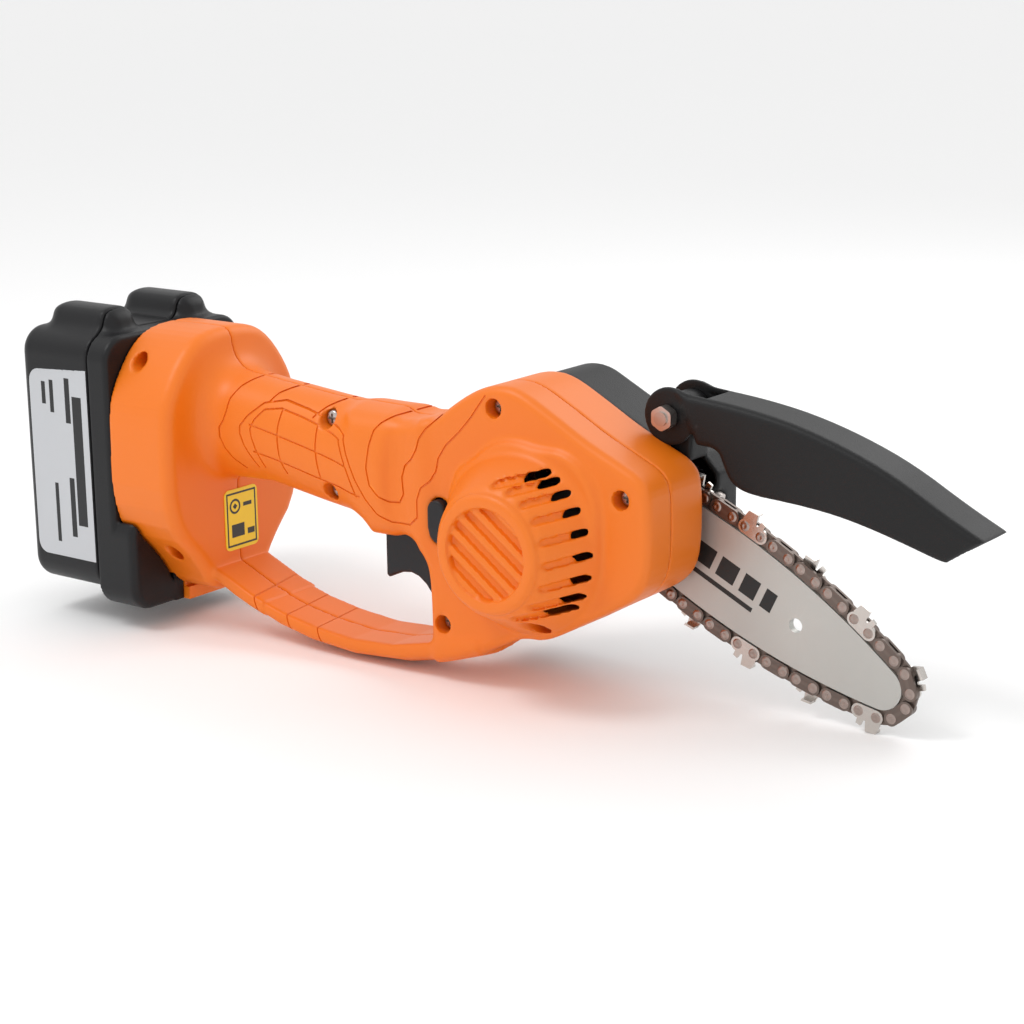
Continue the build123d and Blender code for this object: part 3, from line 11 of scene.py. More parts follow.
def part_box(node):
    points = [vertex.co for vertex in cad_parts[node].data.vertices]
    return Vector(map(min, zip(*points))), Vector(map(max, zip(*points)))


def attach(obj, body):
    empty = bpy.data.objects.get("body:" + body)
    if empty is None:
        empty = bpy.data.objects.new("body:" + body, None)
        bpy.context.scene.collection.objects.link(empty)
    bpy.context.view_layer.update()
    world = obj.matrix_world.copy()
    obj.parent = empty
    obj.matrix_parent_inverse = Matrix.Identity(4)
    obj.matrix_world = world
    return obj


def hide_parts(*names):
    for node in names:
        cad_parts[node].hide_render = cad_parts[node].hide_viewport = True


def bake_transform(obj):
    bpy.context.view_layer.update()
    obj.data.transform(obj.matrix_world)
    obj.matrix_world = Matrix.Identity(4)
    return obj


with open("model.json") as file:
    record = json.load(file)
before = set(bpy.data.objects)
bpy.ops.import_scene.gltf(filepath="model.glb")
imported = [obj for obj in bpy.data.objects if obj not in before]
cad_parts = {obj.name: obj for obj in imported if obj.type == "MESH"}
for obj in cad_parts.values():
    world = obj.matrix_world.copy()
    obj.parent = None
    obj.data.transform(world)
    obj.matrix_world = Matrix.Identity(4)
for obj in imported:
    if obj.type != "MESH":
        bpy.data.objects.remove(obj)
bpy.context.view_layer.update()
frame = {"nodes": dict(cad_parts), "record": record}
scene = bpy.context.scene

# Shapes are worked out in millimetres from the sprocket's axis, with y = 0 at the bar's middle
mm = 0.001
spindleLow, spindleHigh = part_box("spindle")
coreLow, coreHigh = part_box("bar_core")
anchor = np.array([
    (spindleLow[0] + spindleHigh[0]) / 2,
    (coreLow[1] + coreHigh[1]) / 2,
    (spindleLow[2] + spindleHigh[2]) / 2,
])
partingY = -27.0
print("frame loaded, anchor", [round(float(v), 5) for v in anchor])


def localBox(node):
    low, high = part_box(node)
    return (np.array(low) - anchor) / mm, (np.array(high) - anchor) / mm


# Fields: distance to a surface, negative inside, sampled in a block of space
def makeSpace(low, high, step):
    counts = [int((b - a) / step) + 1 for a, b in zip(low, high)]
    axes = [np.float32(a) + np.float32(step) * np.arange(n, dtype=np.float32) for a, n in zip(low, counts)]
    return {
        "low": np.array(low), "step": step,
        "x": axes[0][:, None, None], "y": axes[1][None, :, None], "z": axes[2][None, None, :],
    }


def polygonField(points, u, v):
    nearest = np.float32(1e6)
    inside = np.zeros(np.broadcast_shapes(u.shape, v.shape), bool)
    for (ax, ay), (bx, by) in zip(points, points[1:] + points[:1]):
        ex, ey = bx - ax, by - ay
        along = np.clip(((u - ax) * ex + (v - ay) * ey) / (ex * ex + ey * ey), 0, 1)
        nearest = np.minimum(nearest, (u - ax - ex * along) ** 2 + (v - ay - ey * along) ** 2)
        if ay != by:
            inside ^= ((ay > v) != (by > v)) & (u < ex * (v - ay) / ey + ax)
    return (np.where(inside, -1, 1) * np.sqrt(nearest)).astype(np.float32)


def lineField(points, u, v):
    nearest = np.float32(1e6)
    for (ax, ay), (bx, by) in zip(points, points[1:]):
        ex, ey = bx - ax, by - ay
        along = np.clip(((u - ax) * ex + (v - ay) * ey) / (ex * ex + ey * ey), 0, 1)
        nearest = np.minimum(nearest, (u - ax - ex * along) ** 2 + (v - ay - ey * along) ** 2)
    return np.sqrt(nearest)


def softened(points, rounds=2, closed=True):
    for _ in range(rounds):
        ends = zip(points, points[1:] + points[:1] if closed else points[1:])
        cut = []
        for (ax, ay), (bx, by) in ends:
            for share in (0.25, 0.75):
                cut.append((ax + share * (bx - ax), ay + share * (by - ay)))
        points = cut if closed else [points[0]] + cut + [points[-1]]
    return points


def both(a, b, soft=0.0):
    if soft == 0:
        return np.maximum(a, b)
    return -joined(-a, -b, soft)


def joined(a, b, soft):
    mix = np.clip(0.5 + 0.5 * (b - a) / soft, 0, 1)
    return b + (a - b) * mix - soft * mix * (1 - mix)


def slab(flat, across, half, soft):
    a, b = flat + soft, np.abs(across) - half + soft
    return np.minimum(np.maximum(a, b), 0) + np.sqrt(np.maximum(a, 0) ** 2 + np.maximum(b, 0) ** 2) - soft


def block(space, low, high, soft=0.0):
    sides = []
    for axis, a, b in zip("xyz", low, high):
        sides.append(np.abs(space[axis] - (a + b) / 2) - (b - a) / 2 + soft)
    outside = np.sqrt(sum(np.maximum(s, 0) ** 2 for s in sides))
    return np.minimum(np.maximum(np.maximum(sides[0], sides[1]), sides[2]), 0) + outside - soft


def addObject(name, points, faces):
    mesh = bpy.data.meshes.new(name)
    mesh.from_pydata(np.asarray(points) * mm + anchor, [], faces)
    piece = bpy.data.objects.new(name, mesh)
    scene.collection.objects.link(piece)
    return piece


def sharpen(piece, angle=38):
    bm = bmesh.new()
    bm.from_mesh(piece.data)
    if bm.calc_volume(signed=True) < 0:
        bmesh.ops.reverse_faces(bm, faces=bm.faces)
    for face in bm.faces:
        face.smooth = True
    for edge in bm.edges:
        edge.smooth = len(edge.link_faces) == 2 and edge.calc_face_angle(0) < math.radians(angle)
    bm.to_mesh(piece.data)
    bm.free()


def meshOf(name, field, space, thin=0.0):
    grid = openvdb.FloatGrid(4.0)
    grid.copyFromArray(np.ascontiguousarray(np.clip(field, -4, 4), dtype=np.float32))
    points, triangles, quads = grid.convertToPolygons(isovalue=0.0, adaptivity=thin)
    faces = [tuple(int(i) for i in f) for f in quads] + [tuple(int(i) for i in f) for f in triangles]
    piece = addObject(name, points * space["step"] + space["low"], faces)
    sharpen(piece)
    print("made", name, len(faces), "faces")
    return piece


# Materials
def newMaterial(name):
    material = bpy.data.materials.new(name)
    material.use_nodes = True
    tree = material.node_tree
    shader = tree.nodes["Principled BSDF"]
    return material, tree, shader


def makeGrainGroup():
    # moulded or ground surface: patches, fine grain, and a painted highlight on convex edges from the shape
    # itself
    group = bpy.data.node_groups.new("mouldedGrain", "ShaderNodeTree")
    for label, value in (("Grain Scale", 900.0), ("Grain", 0.5), ("Patches", 0.06)):
        socket = group.interface.new_socket(label, in_out="INPUT", socket_type="NodeSocketFloat")
        socket.default_value = value
    for label in ("Height", "Patch", "Edge"):
        group.interface.new_socket(label, in_out="OUTPUT", socket_type="NodeSocketFloat")
    nodes, links = group.nodes, group.links
    inputs, outputs = nodes.new("NodeGroupInput"), nodes.new("NodeGroupOutput")
    place = nodes.new("ShaderNodeTexCoord")
    fine = nodes.new("ShaderNodeTexNoise")
    fine.inputs["Detail"].default_value = 3
    links.new(place.outputs["Object"], fine.inputs["Vector"])
    links.new(inputs.outputs["Grain Scale"], fine.inputs["Scale"])
    grain = nodes.new("ShaderNodeMath")
    grain.operation = "MULTIPLY"
    links.new(fine.outputs["Fac"], grain.inputs[0])
    links.new(inputs.outputs["Grain"], grain.inputs[1])
    broad = nodes.new("ShaderNodeTexNoise")
    broad.inputs["Scale"].default_value = 28
    broad.inputs["Detail"].default_value = 4
    links.new(place.outputs["Object"], broad.inputs["Vector"])
    centred = nodes.new("ShaderNodeMath")
    centred.operation = "SUBTRACT"
    centred.inputs[1].default_value = 0.5
    links.new(broad.outputs["Fac"], centred.inputs[0])
    patch = nodes.new("ShaderNodeMath")
    patch.operation = "MULTIPLY"
    links.new(centred.outputs[0], patch.inputs[0])
    links.new(inputs.outputs["Patches"], patch.inputs[1])
    shape = nodes.new("ShaderNodeNewGeometry")
    edge = nodes.new("ShaderNodeMapRange")
    edge.inputs["From Min"].default_value = 0.54
    edge.inputs["From Max"].default_value = 0.75
    links.new(shape.outputs["Pointiness"], edge.inputs["Value"])
    links.new(grain.outputs[0], outputs.inputs["Height"])
    links.new(patch.outputs[0], outputs.inputs["Patch"])
    links.new(edge.outputs["Result"], outputs.inputs["Edge"])
    return group


grainGroup = makeGrainGroup()


def grained(name, colour, rough, scale, grain, patches, metallic=0.0, edgeHighlightColour=None, bump=0.00012):
    material, tree, shader = newMaterial(name)
    nodes, links = tree.nodes, tree.links
    surface = nodes.new("ShaderNodeGroup")
    surface.node_tree = grainGroup
    surface.inputs["Grain Scale"].default_value = scale
    surface.inputs["Grain"].default_value = grain
    surface.inputs["Patches"].default_value = patches
    shader.inputs["Metallic"].default_value = metallic
    shader.inputs["Specular IOR Level"].default_value = 0.3 if max(colour) < 0.03 else 0.5
    tint = nodes.new("ShaderNodeHueSaturation")
    tint.inputs["Color"].default_value = (*colour, 1)
    lift = nodes.new("ShaderNodeMath")
    lift.operation = "ADD"
    lift.inputs[0].default_value = 1.0
    links.new(surface.outputs["Patch"], lift.inputs[1])
    links.new(lift.outputs[0], tint.inputs["Value"])
    # painted highlight: convex edges are mixed towards a lighter edge colour
    edgeHighlight = nodes.new("ShaderNodeMix")
    edgeHighlight.data_type = "RGBA"
    edgeHighlight.inputs["B"].default_value = (*(edgeHighlightColour or [min(1, c * 1.35 + 0.02) for c in colour]), 1)
    links.new(surface.outputs["Edge"], edgeHighlight.inputs["Factor"])
    links.new(tint.outputs["Color"], edgeHighlight.inputs["A"])
    links.new(edgeHighlight.outputs["Result"], shader.inputs["Base Color"])
    roughness = nodes.new("ShaderNodeMath")
    roughness.operation = "ADD"
    roughness.inputs[0].default_value = rough
    links.new(surface.outputs["Patch"], roughness.inputs[1])
    links.new(roughness.outputs[0], shader.inputs["Roughness"])
    relief = nodes.new("ShaderNodeBump")
    relief.inputs["Strength"].default_value = 0.5
    relief.inputs["Distance"].default_value = bump
    links.new(surface.outputs["Height"], relief.inputs["Height"])
    links.new(relief.outputs["Normal"], shader.inputs["Normal"])
    return material


finishes = {
    # the orange's edge colour is a painted highlight
    "orange_plastic": grained(
        "orangeAbs", (0.83, 0.178, 0.003), 0.44, 1400, 0.5, 0.04, edgeHighlightColour=(0.97, 0.26, 0.01)
    ),
    "black_plastic": grained("blackAbs", (0.0075, 0.0075, 0.008), 0.46, 1900, 1.0, 0.10, bump=0.0003),
    "battery_plastic": grained("batteryAbs", (0.007, 0.007, 0.008), 0.40, 2000, 0.8, 0.10, bump=0.0002),
    "button_plastic": grained("buttonAbs", (0.014, 0.014, 0.016), 0.42, 1500, 0.6, 0.06),
    "dock_plastic": grained("dockNylon", (0.02, 0.02, 0.02), 0.5, 900, 0.8, 0.1),
    "bar_steel": grained("barSteel", (0.46, 0.455, 0.43), 0.42, 700, 0.5, 0.08, metallic=0.55),
    "chain_steel": grained(
        "chainSteel", (0.075, 0.05, 0.042), 0.36, 900, 0.6, 0.35, metallic=0.85, edgeHighlightColour=(0.3, 0.25, 0.22)
    ),
    "cutter_chrome": grained("cutterChrome", (0.50, 0.47, 0.44), 0.26, 700, 0.3, 0.10, metallic=1.0),
    "rivet_steel": grained("rivetSteel", (0.36, 0.29, 0.26), 0.28, 700, 0.3, 0.12, metallic=1.0),
    "zinc_steel": grained("zincSteel", (0.50, 0.45, 0.42), 0.30, 800, 0.4, 0.10, metallic=1.0),
    "gear_steel": grained("gearSteel", (0.35, 0.35, 0.36), 0.40, 800, 0.6, 0.12, metallic=0.9),
    "motor_steel": grained("motorSteel", (0.10, 0.10, 0.105), 0.40, 800, 0.4, 0.1, metallic=0.6),
    "magnet_ferrite": grained("ferrite", (0.05, 0.05, 0.052), 0.6, 900, 0.8, 0.1),
    "copper_brass": grained("copper", (0.75, 0.38, 0.18), 0.32, 800, 0.4, 0.1, metallic=1.0),
    "plate_aluminium": grained("castAluminium", (0.62, 0.63, 0.64), 0.42, 700, 0.8, 0.08, metallic=0.9),
    "cell_metal": grained("cellSleeve", (0.05, 0.16, 0.42), 0.32, 600, 0.2, 0.05),
    "bush_bronze": grained("bronze", (0.5, 0.28, 0.1), 0.4, 900, 0.6, 0.1, metallic=1.0),
    "spring_steel": grained("springWire", (0.55, 0.55, 0.56), 0.28, 900, 0.3, 0.08, metallic=1.0),
    "board_plastic": grained("boardLacquer", (0.01, 0.12, 0.04), 0.3, 700, 0.3, 0.1),
    "label_foil": grained("labelFoil", (0.52, 0.53, 0.55), 0.34, 1200, 0.5, 0.06, metallic=0.4),
    "sticker_vinyl": grained("stickerVinyl", (0.85, 0.62, 0.01), 0.35, 900, 0.2, 0.04),
    "wire_red_black": grained("wireSleeve", (0.32, 0.02, 0.015), 0.42, 700, 0.3, 0.08),
}
slotOf = {part["node"]: part["material_slot"] for part in frame["record"]["subparts"]}


def printed(name, like, ink, marks, axes=(0, 2)):
    # each mark is (middle, middle, half, half, turn) in millimetres, or a ring if its second half is None
    material = finishes[like].copy()
    material.name = name
    nodes, links = material.node_tree.nodes, material.node_tree.links
    shader = nodes["Principled BSDF"]
    place = nodes.new("ShaderNodeTexCoord")
    total = None

    def math2(kind, a, b=None):
        node = nodes.new("ShaderNodeMath")
        node.operation = kind
        for socket, value in zip(node.inputs, (a, b)):
            if isinstance(value, (int, float)):
                socket.default_value = value
            elif value is not None:
                links.new(value, socket)
        return node.outputs[0]

    split = nodes.new("ShaderNodeSeparateXYZ")
    links.new(place.outputs["Object"], split.inputs[0])
    u = math2("MULTIPLY", math2("SUBTRACT", split.outputs[axes[0]], float(anchor[axes[0]])), 1000.0)
    v = math2("MULTIPLY", math2("SUBTRACT", split.outputs[axes[1]], float(anchor[axes[1]])), 1000.0)
    for cu, cv, hu, hv, turn in marks:
        du, dv = math2("SUBTRACT", u, cu), math2("SUBTRACT", v, cv)
        c, sn = math.cos(math.radians(turn)), math.sin(math.radians(turn))
        along = math2("ADD", math2("MULTIPLY", du, c), math2("MULTIPLY", dv, sn))
        across = math2("SUBTRACT", math2("MULTIPLY", dv, c), math2("MULTIPLY", du, sn))
        if hv is None:
            reach = math2("POWER", math2("ADD", math2("MULTIPLY", du, du), math2("MULTIPLY", dv, dv)), 0.5)
            mask = math2("LESS_THAN", math2("ABSOLUTE", math2("SUBTRACT", reach, hu)), 0.45)
        else:
            inU = math2("LESS_THAN", math2("ABSOLUTE", along), hu)
            mask = math2("MULTIPLY", inU, math2("LESS_THAN", math2("ABSOLUTE", across), hv))
        total = mask if total is None else math2("MAXIMUM", total, mask)
    before = shader.inputs["Base Color"].links[0].from_socket
    mix = nodes.new("ShaderNodeMix")
    mix.data_type = "RGBA"
    mix.inputs["B"].default_value = (*ink, 1)
    links.new(total, mix.inputs["Factor"])
    links.new(before, mix.inputs["A"])
    links.new(mix.outputs["Result"], shader.inputs["Base Color"])
    return material


labelMarks = [(-193.5, -12.0, 2.6, 26.0, 0), (-198.6, 12.0, 1.4, 9.0, 0), (-198.6, -31.0, 1.4, 12.0, 0),
              (-207.5, 13.0, 1.1, 6.5, 0), (-212.0, 14.0, 1.1, 4.5, 0), (-207.5, -34.0, 1.0, 12.0, 0)]
stickerMarks = [(-26.0 - 7.9 + 15.8 * k, -35.6, 0.4, 10.9, 0) for k in (0, 1)]
stickerMarks += [(-26.0, -35.6 + 10.5 * k, 8.3, 0.4, 0) for k in (-1, 1)]
stickerMarks += [(-29.5, -30.3, 2.6, None, 0), (-29.5, -30.3, 0.9, 0.9, 45), (-22.5, -30.3, 2.4, 0.8, 0),
                 (-28.2, -40.2, 3.6, 2.6, 0), (-20.9, -41.6, 2.0, 1.2, 0)]
barTilt = -26.0
barMarks = []
for reach, side, halfLong, halfTall in (
    (60, 1.6, 5.0, 3.8), (71.5, 1.6, 4.0, 3.8), (81.5, 1.6, 3.4, 3.8), (90.0, 1.6, 2.4, 3.8),
    (72, -5.6, 14.0, 0.9),
):
    c, sn = math.cos(math.radians(barTilt)), math.sin(math.radians(barTilt))
    barMarks.append((reach * c - side * sn, reach * sn + side * c, halfLong, halfTall, barTilt))
printedOn = {
    "battery_label": printed("printedFoil", "label_foil", (0.02, 0.02, 0.021), labelMarks),
    "foot_sticker": printed("printedVinyl", "sticker_vinyl", (0.02, 0.018, 0.01), stickerMarks, (1, 2)),
    "bar_side_plates": printed("printedSteel", "bar_steel", (0.03, 0.03, 0.03), barMarks),
}
for node, piece in frame["nodes"].items():
    piece.data.materials.clear()
    piece.data.materials.append(printedOn.get(node) or finishes[slotOf[node]])


def finishPiece(piece, material, body, slotName, *nodes):
    piece.data.materials.clear()
    piece.data.materials.append(material)
    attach(piece, body)
    if nodes:
        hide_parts(*nodes)


# Clamshell
shell = {
    "step": 0.78, "wall": 2.4, "nearY": -42.0, "farY": -5.5, "capAt": (6.0, -19.07), "capRadius": 21.6,
    "bulgeRadius": 33.0, "louvreRadius": 16.5, "louvrePitch": 6.3, "ventStart": 24.6, "ventEnd": 31.5,
    "footRearX": -176.0, "grooveHalf": 0.36, "grooveDepth": 0.6, "grooveStep": 0.36,
}
headLine = softened([
    (-44, 16.9), (-35, 19.2), (-23.8, 27.6), (-14.8, 32.8), (-5.9, 35.4), (3.6, 34.8), (17.8, 27.5),
    (32.4, 19.4), (45, 14.0), (55.0, 9.4), (58.2, 3.0), (58.2, -22.0), (54.0, -32.4), (40.8, -40.1),
    (28, -47.1), (14.0, -55.2), (3.9, -55.6), (-2.8, -58.6), (-16.6, -65.8), (-32, -71.0), (-37.4, -72.0),
    (-37.6, -43.9), (-39.2, -33.4), (-44, -27.6),
], 2)
zoneLine = [
    (-74, 16.0), (-56, 17.0), (-38, 18.6), (-34, 0), (-36, -33.0), (-43.4, -27.8), (-50.4, -25.9),
    (-58.6, -26.2), (-65.4, -26.6), (-68.6, -21.3), (-74, -15.0),
]
footLine = softened([(y + partingY, z) for y, z in (
    (37.9, 6), (35.5, 18.5), (24, 34.6), (12, 40.8), (-12, 40.8), (-24, 34.6), (-35.5, 18.5), (-37.9, 6),
    (-37.9, -32), (-20, -51), (-14, -63.8), (14, -63.8), (20, -51), (37.9, -32),
)], 2)
stepLine = softened([
    (-27.5, -14), (-24.2, -1.1), (-20.7, 4.4), (-14.8, 7.6), (-8.9, 13.0), (-2.2, 16.2), (5.4, 16.8),
    (14, 15.4), (25, 15.6), (35, 9), (40, -6), (36, -24), (10, -30), (-20, -30),
], 2)
loopTop = ((-152, -49.5), (-146.7, -52.1), (-125.9, -61), (-110.9, -65.2), (-95.1, -67.9), (-76.2, -69.5),
           (-56.6, -68.4), (-38.3, -64.3), (-18.8, -60.8))
loopLow = ((-152, -53.5), (-134.9, -61.5), (-126.6, -64.7), (-112.2, -69.5), (-96.4, -72.7), (-76.3, -74.3),
           (-51.9, -72.6), (-32.8, -68.5), (-14.2, -62.6))
grooves = (
    ((-119.3, -8.6), (-126.3, 2.8), (-126.2, 8.4), (-113.1, 19.1), (-89.4, 15.1), (-74.8, 10.3),
     (-74.9, 7.0), (-66.2, -10.7), (-57.2, -20.5), (-40.8, -20.3), (-40.9, -7.2), (-33.2, -1.4), (-31, 8.5),
     (-19, 19.4), (-10, 31.3)),
    ((-115.7, -8.1), (-120.2, 1.4), (-121.6, 8.0), (-113.1, 16.3), (-91, 12.2), (-77.6, 8.0), (-77.6, 6.4),
     (-68.4, -12.6)),
    ((-106.8, 15.0), (-107.8, 5.5), (-106.7, -4.4), (-104.2, -9.1)),
    ((-88.7, 11.4), (-88.6, 0.4), (-86.8, -8.5)),
    ((-121.6, 8.0), (-107.8, 5.5), (-89.0, 1.8), (-74.3, -1.9)),
    ((-119.9, -2.3), (-106.7, -4.4), (-87.9, -8.6), (-66.9, -12.4)),
    ((-46.6, 22.1), (-57, 17.0), (-61.2, 11.9), (-63.4, -5.4), (-55.9, -13.0), (-47.7, -12.6),
     (-48.8, -0.2), (-41.5, 5.9), (-38.8, 14.6), (-30.6, 22.0)),
    ((-124, 27.1), (-132.4, 19), (-133.5, 9.6), (-137.2, 4.1), (-133.2, -4.8), (-126.1, -9.9)),
    ((-101.9, 24.5), (-111.9, 20.9), (-114.4, 16.9)),
    ((-78.4, 22.6), (-87.1, 18.8), (-92.1, 13.6)),
)
screwPlaces = (
    (-6.8, 27.0), (46.8, 1.3), (-31.4, -56.0), (15.5, -47.5), (-85.6, 13.5), (-83.8, -13.5), (-168.0, 29.0),
    (-157.0, -46.0),
)


def outsideField(space):
    x, y, z = space["x"], space["y"], space["z"]
    headMiddle, headHalf = (shell["nearY"] + shell["farY"]) / 2, (shell["farY"] - shell["nearY"]) / 2
    head = slab(polygonField(headLine, x, z), y - headMiddle, headHalf, 3.4)
    raised = slab(polygonField(stepLine, x, z), y + 41, 3.6, 2.2)
    head = joined(head, raised, 2.6)
    capX, capZ = shell["capAt"]
    radius = np.hypot(x - capX, z - capZ)
    bulge, rim = shell["bulgeRadius"], shell["capRadius"]
    capLine = [(-1, 34), (bulge, 34), (bulge, 43.5), (23.4, 61.2), (rim, 62.6), (rim - 0.2, 64.0),
               (rim - 1.6, 65), (-1, 65)]
    cap = polygonField(capLine, radius, -y)
    head = joined(head, cap, 2.4)
    zone = slab(polygonField(zoneLine, x, z), y - partingY, 15.2, 5.5)
    middle = np.interp(x, (-155, -119, -92, -60), (4.6, 3.1, -0.3, -3.6)).astype(np.float32)
    tall = np.interp(x, (-155, -119, -82, -60), (22.5, 19.7, 20.8, 21.4)).astype(np.float32)
    wide = np.interp(x, (-155, -119, -60), (19.0, 17.0, 17.0)).astype(np.float32)
    power = 2.35
    swell = (np.abs((y - partingY) / wide) ** power + np.abs((z - middle) / tall) ** power) ** (1 / power)
    handle = both((swell - 1) * 17.5, np.abs(x + 106) - 48, 3)
    grip = joined(zone, handle, 9.0)
    crown = 4.0 * (1 - np.clip(np.abs(y - partingY) / 15, 0, 1) ** 2)
    top = np.interp(x, *zip(*loopTop)).astype(np.float32)
    low = np.interp(x, *zip(*loopLow)).astype(np.float32)
    loop = both(both(z - top, low - crown - z, 1.2), np.abs(y - partingY) - 15, 1.6) * np.float32(0.93)
    loop = both(loop, np.abs(x + 84) - 68)
    foot = slab(polygonField(footLine, y, z), x + 163, 18.0, 5.0)
    foot = both(foot, shell["footRearX"] - x)
    body = joined(head, grip, 5.0)
    body = joined(body, loop, 3.0)
    flare = np.interp(z, (-22, 2), (3.0, 11.0)).astype(np.float32)
    rear = joined(foot, handle, flare)
    body = np.where(x < -120, joined(np.minimum(body, rear), loop, 2.0), body)
    return np.minimum(body, rear)


def cutField(space, body):
    x, y, z = space["x"], space["y"], space["z"]
    capX, capZ = shell["capAt"]
    cuts = []
    for px, pz in screwPlaces:
        cuts.append(np.hypot(x - px, z - pz) - 3.4 + np.where(y > -35, 50, 0))
    # lock button, trigger, battery tongue
    cuts.append(both(np.hypot(x + 31.5, np.maximum(np.abs(z + 17.5) - 4.5, 0)) - 4.4, y + 31))
    cuts.append(block(space, (-65.6, -34.4, -34), (-40.6, -19.6, -18)))
    cuts.append(block(space, (-190, -43.4, -80), (-165.6, -10.6, -42)))
    # louvres in the cap, in a shallow round recess
    turn = math.radians(-36)
    across = -(x - capX) * math.sin(turn) + (z - capZ) * math.cos(turn)
    ring = np.hypot(x - capX, z - capZ)
    cuts.append(both(ring - shell["louvreRadius"], y + 64.0))
    slots = np.abs(across - shell["louvrePitch"] * np.clip(np.round(across / shell["louvrePitch"]), -2, 2))
    cuts.append(both(both(slots - 1.6, ring - shell["louvreRadius"] + 0.3), y + 61.9))
    # vents round the front of the bulge: slots side by side, blind at the cap and open at the far end
    tilt = math.radians(15)
    for angle in (84, 68, 52, 35, 17, -2, -22, -43, -66):
        startX = shell["ventStart"] * math.cos(math.radians(angle))
        startZ = shell["ventStart"] * math.sin(math.radians(angle))
        ahead = (x - capX - startX) * math.cos(tilt) + (z - capZ - startZ) * math.sin(tilt)
        beside = -(x - capX - startX) * math.sin(tilt) + (z - capZ - startZ) * math.cos(tilt)
        product = startX * math.cos(tilt) + startZ * math.sin(tilt)
        long = -product + math.sqrt(product ** 2 + shell["ventEnd"] ** 2 - shell["ventStart"] ** 2)
        slot = np.hypot(ahead - np.clip(ahead, -1.5, long - 1.3), beside) - 1.3
        cuts.append(both(slot, -1.5 - body))
        cuts.append(both(both(slot, 0.42 * long - ahead), np.abs(y + 50) - 12))
    cut = cuts[0]
    for extra in cuts[1:]:
        cut = np.minimum(cut, extra)
    return cut


def grooveField(space, body, far):
    x, y, z = space["x"], space["y"], space["z"]
    lines = np.float32(50)
    for line in grooves:
        lines = np.minimum(lines, lineField(softened(list(line), 1, closed=False), x, z))
    lines = both(lines - shell["grooveHalf"], (x + 45) if far else (x + 8))
    lines = both(lines, partingY + 1.2 - y if far else y - partingY + 1.2)
    for middle in (-126.0, -111.5, -97.0):
        cross = np.abs((x - middle) + (z + 62) * 0.38 + (y - partingY) * 0.12) * 0.92 - 0.3
        lines = np.minimum(lines, both(cross, z + 50))
    return both(lines, np.abs(body - 0.3) - shell["grooveDepth"] - 0.3)


def carve(piece, cutter):
    cut = piece.modifiers.new("cut", "BOOLEAN")
    cut.operation = "DIFFERENCE"
    cut.solver = "MANIFOLD"
    cut.object = cutter
    carved = bpy.data.meshes.new_from_object(piece.evaluated_get(bpy.context.evaluated_depsgraph_get()))
    piece.modifiers.clear()
    piece.data = carved
    bpy.data.objects.remove(cutter)
    sharpen(piece)


shellSpace = makeSpace((-178, -68, -83), (61, 13, 43), shell["step"])
outside = outsideField(shellSpace)
print("outside field", outside.shape)
inner = outside + shell["wall"]
for px, pz in screwPlaces:
    inner = both(inner, -(np.hypot(shellSpace["x"] - px, shellSpace["z"] - pz) - 4.9))
capRing = np.hypot(shellSpace["x"] - shell["capAt"][0], shellSpace["z"] - shell["capAt"][1])
inner = both(inner, -both(capRing - 19.0, shellSpace["y"] + 59.6))
hub = both(np.hypot(shellSpace["x"], shellSpace["z"]) - 10.4, -13 - shellSpace["y"])
inner = both(inner, -hub)
hollow = both(outside, -inner)
hollow = both(hollow, -cutField(shellSpace, outside), 0.7)
hollow = both(hollow, -block(shellSpace, (-180, -43.2, -46), (-162.4, -10.8, 24)))
for px, pz in screwPlaces:
    hole = np.hypot(shellSpace["x"] - px, shellSpace["z"] - pz) - 1.8
    hole = both(hole, np.abs(shellSpace["y"] - partingY) - 9)
    hollow = both(hollow, -hole)
bore = both(np.hypot(shellSpace["x"], shellSpace["z"]) - 8.1, -11.6 - shellSpace["y"])
hollow = both(hollow, -bore)
partingGap = 0.06
right = meshOf("shell_right", both(hollow, shellSpace["y"] - partingY + partingGap, 0.6), shellSpace)
left = meshOf("shell_left", both(hollow, partingY + partingGap - shellSpace["y"], 0.6), shellSpace)
for piece, far, low, high in ((right, False, -45.6, partingY), (left, True, partingY, -8.6)):
    grooveSpace = makeSpace((-140, low, -77), (-6, high, 35), shell["grooveStep"])
    cutter = grooveField(grooveSpace, outsideField(grooveSpace), far)
    carve(piece, meshOf("grooveCutter", cutter, grooveSpace))
finishPiece(right, finishes["orange_plastic"], "saw_body", "orange_plastic", "housing_right")
finishPiece(left, finishes["orange_plastic"], "saw_body", "orange_plastic", "housing_left")

# Guard over the chain
guardShape = {"step": 0.6, "half": 10.0, "wall": 2.0, "pivot": (45.0, 24.5), "earRadius": 10.2}
guardTop = [(48, 33.6), (56.3, 32.6), (74.2, 31), (92.8, 28), (112.3, 22.6), (131.4, 15.2), (151.1, 4.2),
            (165.6, -2.9)]
guardLow = [(152.2, -12.0), (148.5, -11.4), (138.3, -8.4), (124.6, -4.7), (111, -1.9), (95.6, -0.3),
            (80, 0.4), (73.1, 1.9), (69.3, 4.8), (66.8, 10.0), (64.6, 15.0), (56, 15.4)]
guardLine = softened(guardTop, 2, closed=False) + softened(guardLow, 2, closed=False)
guardSpace = makeSpace((32, -13, -15), (169, 13, 38), guardShape["step"])


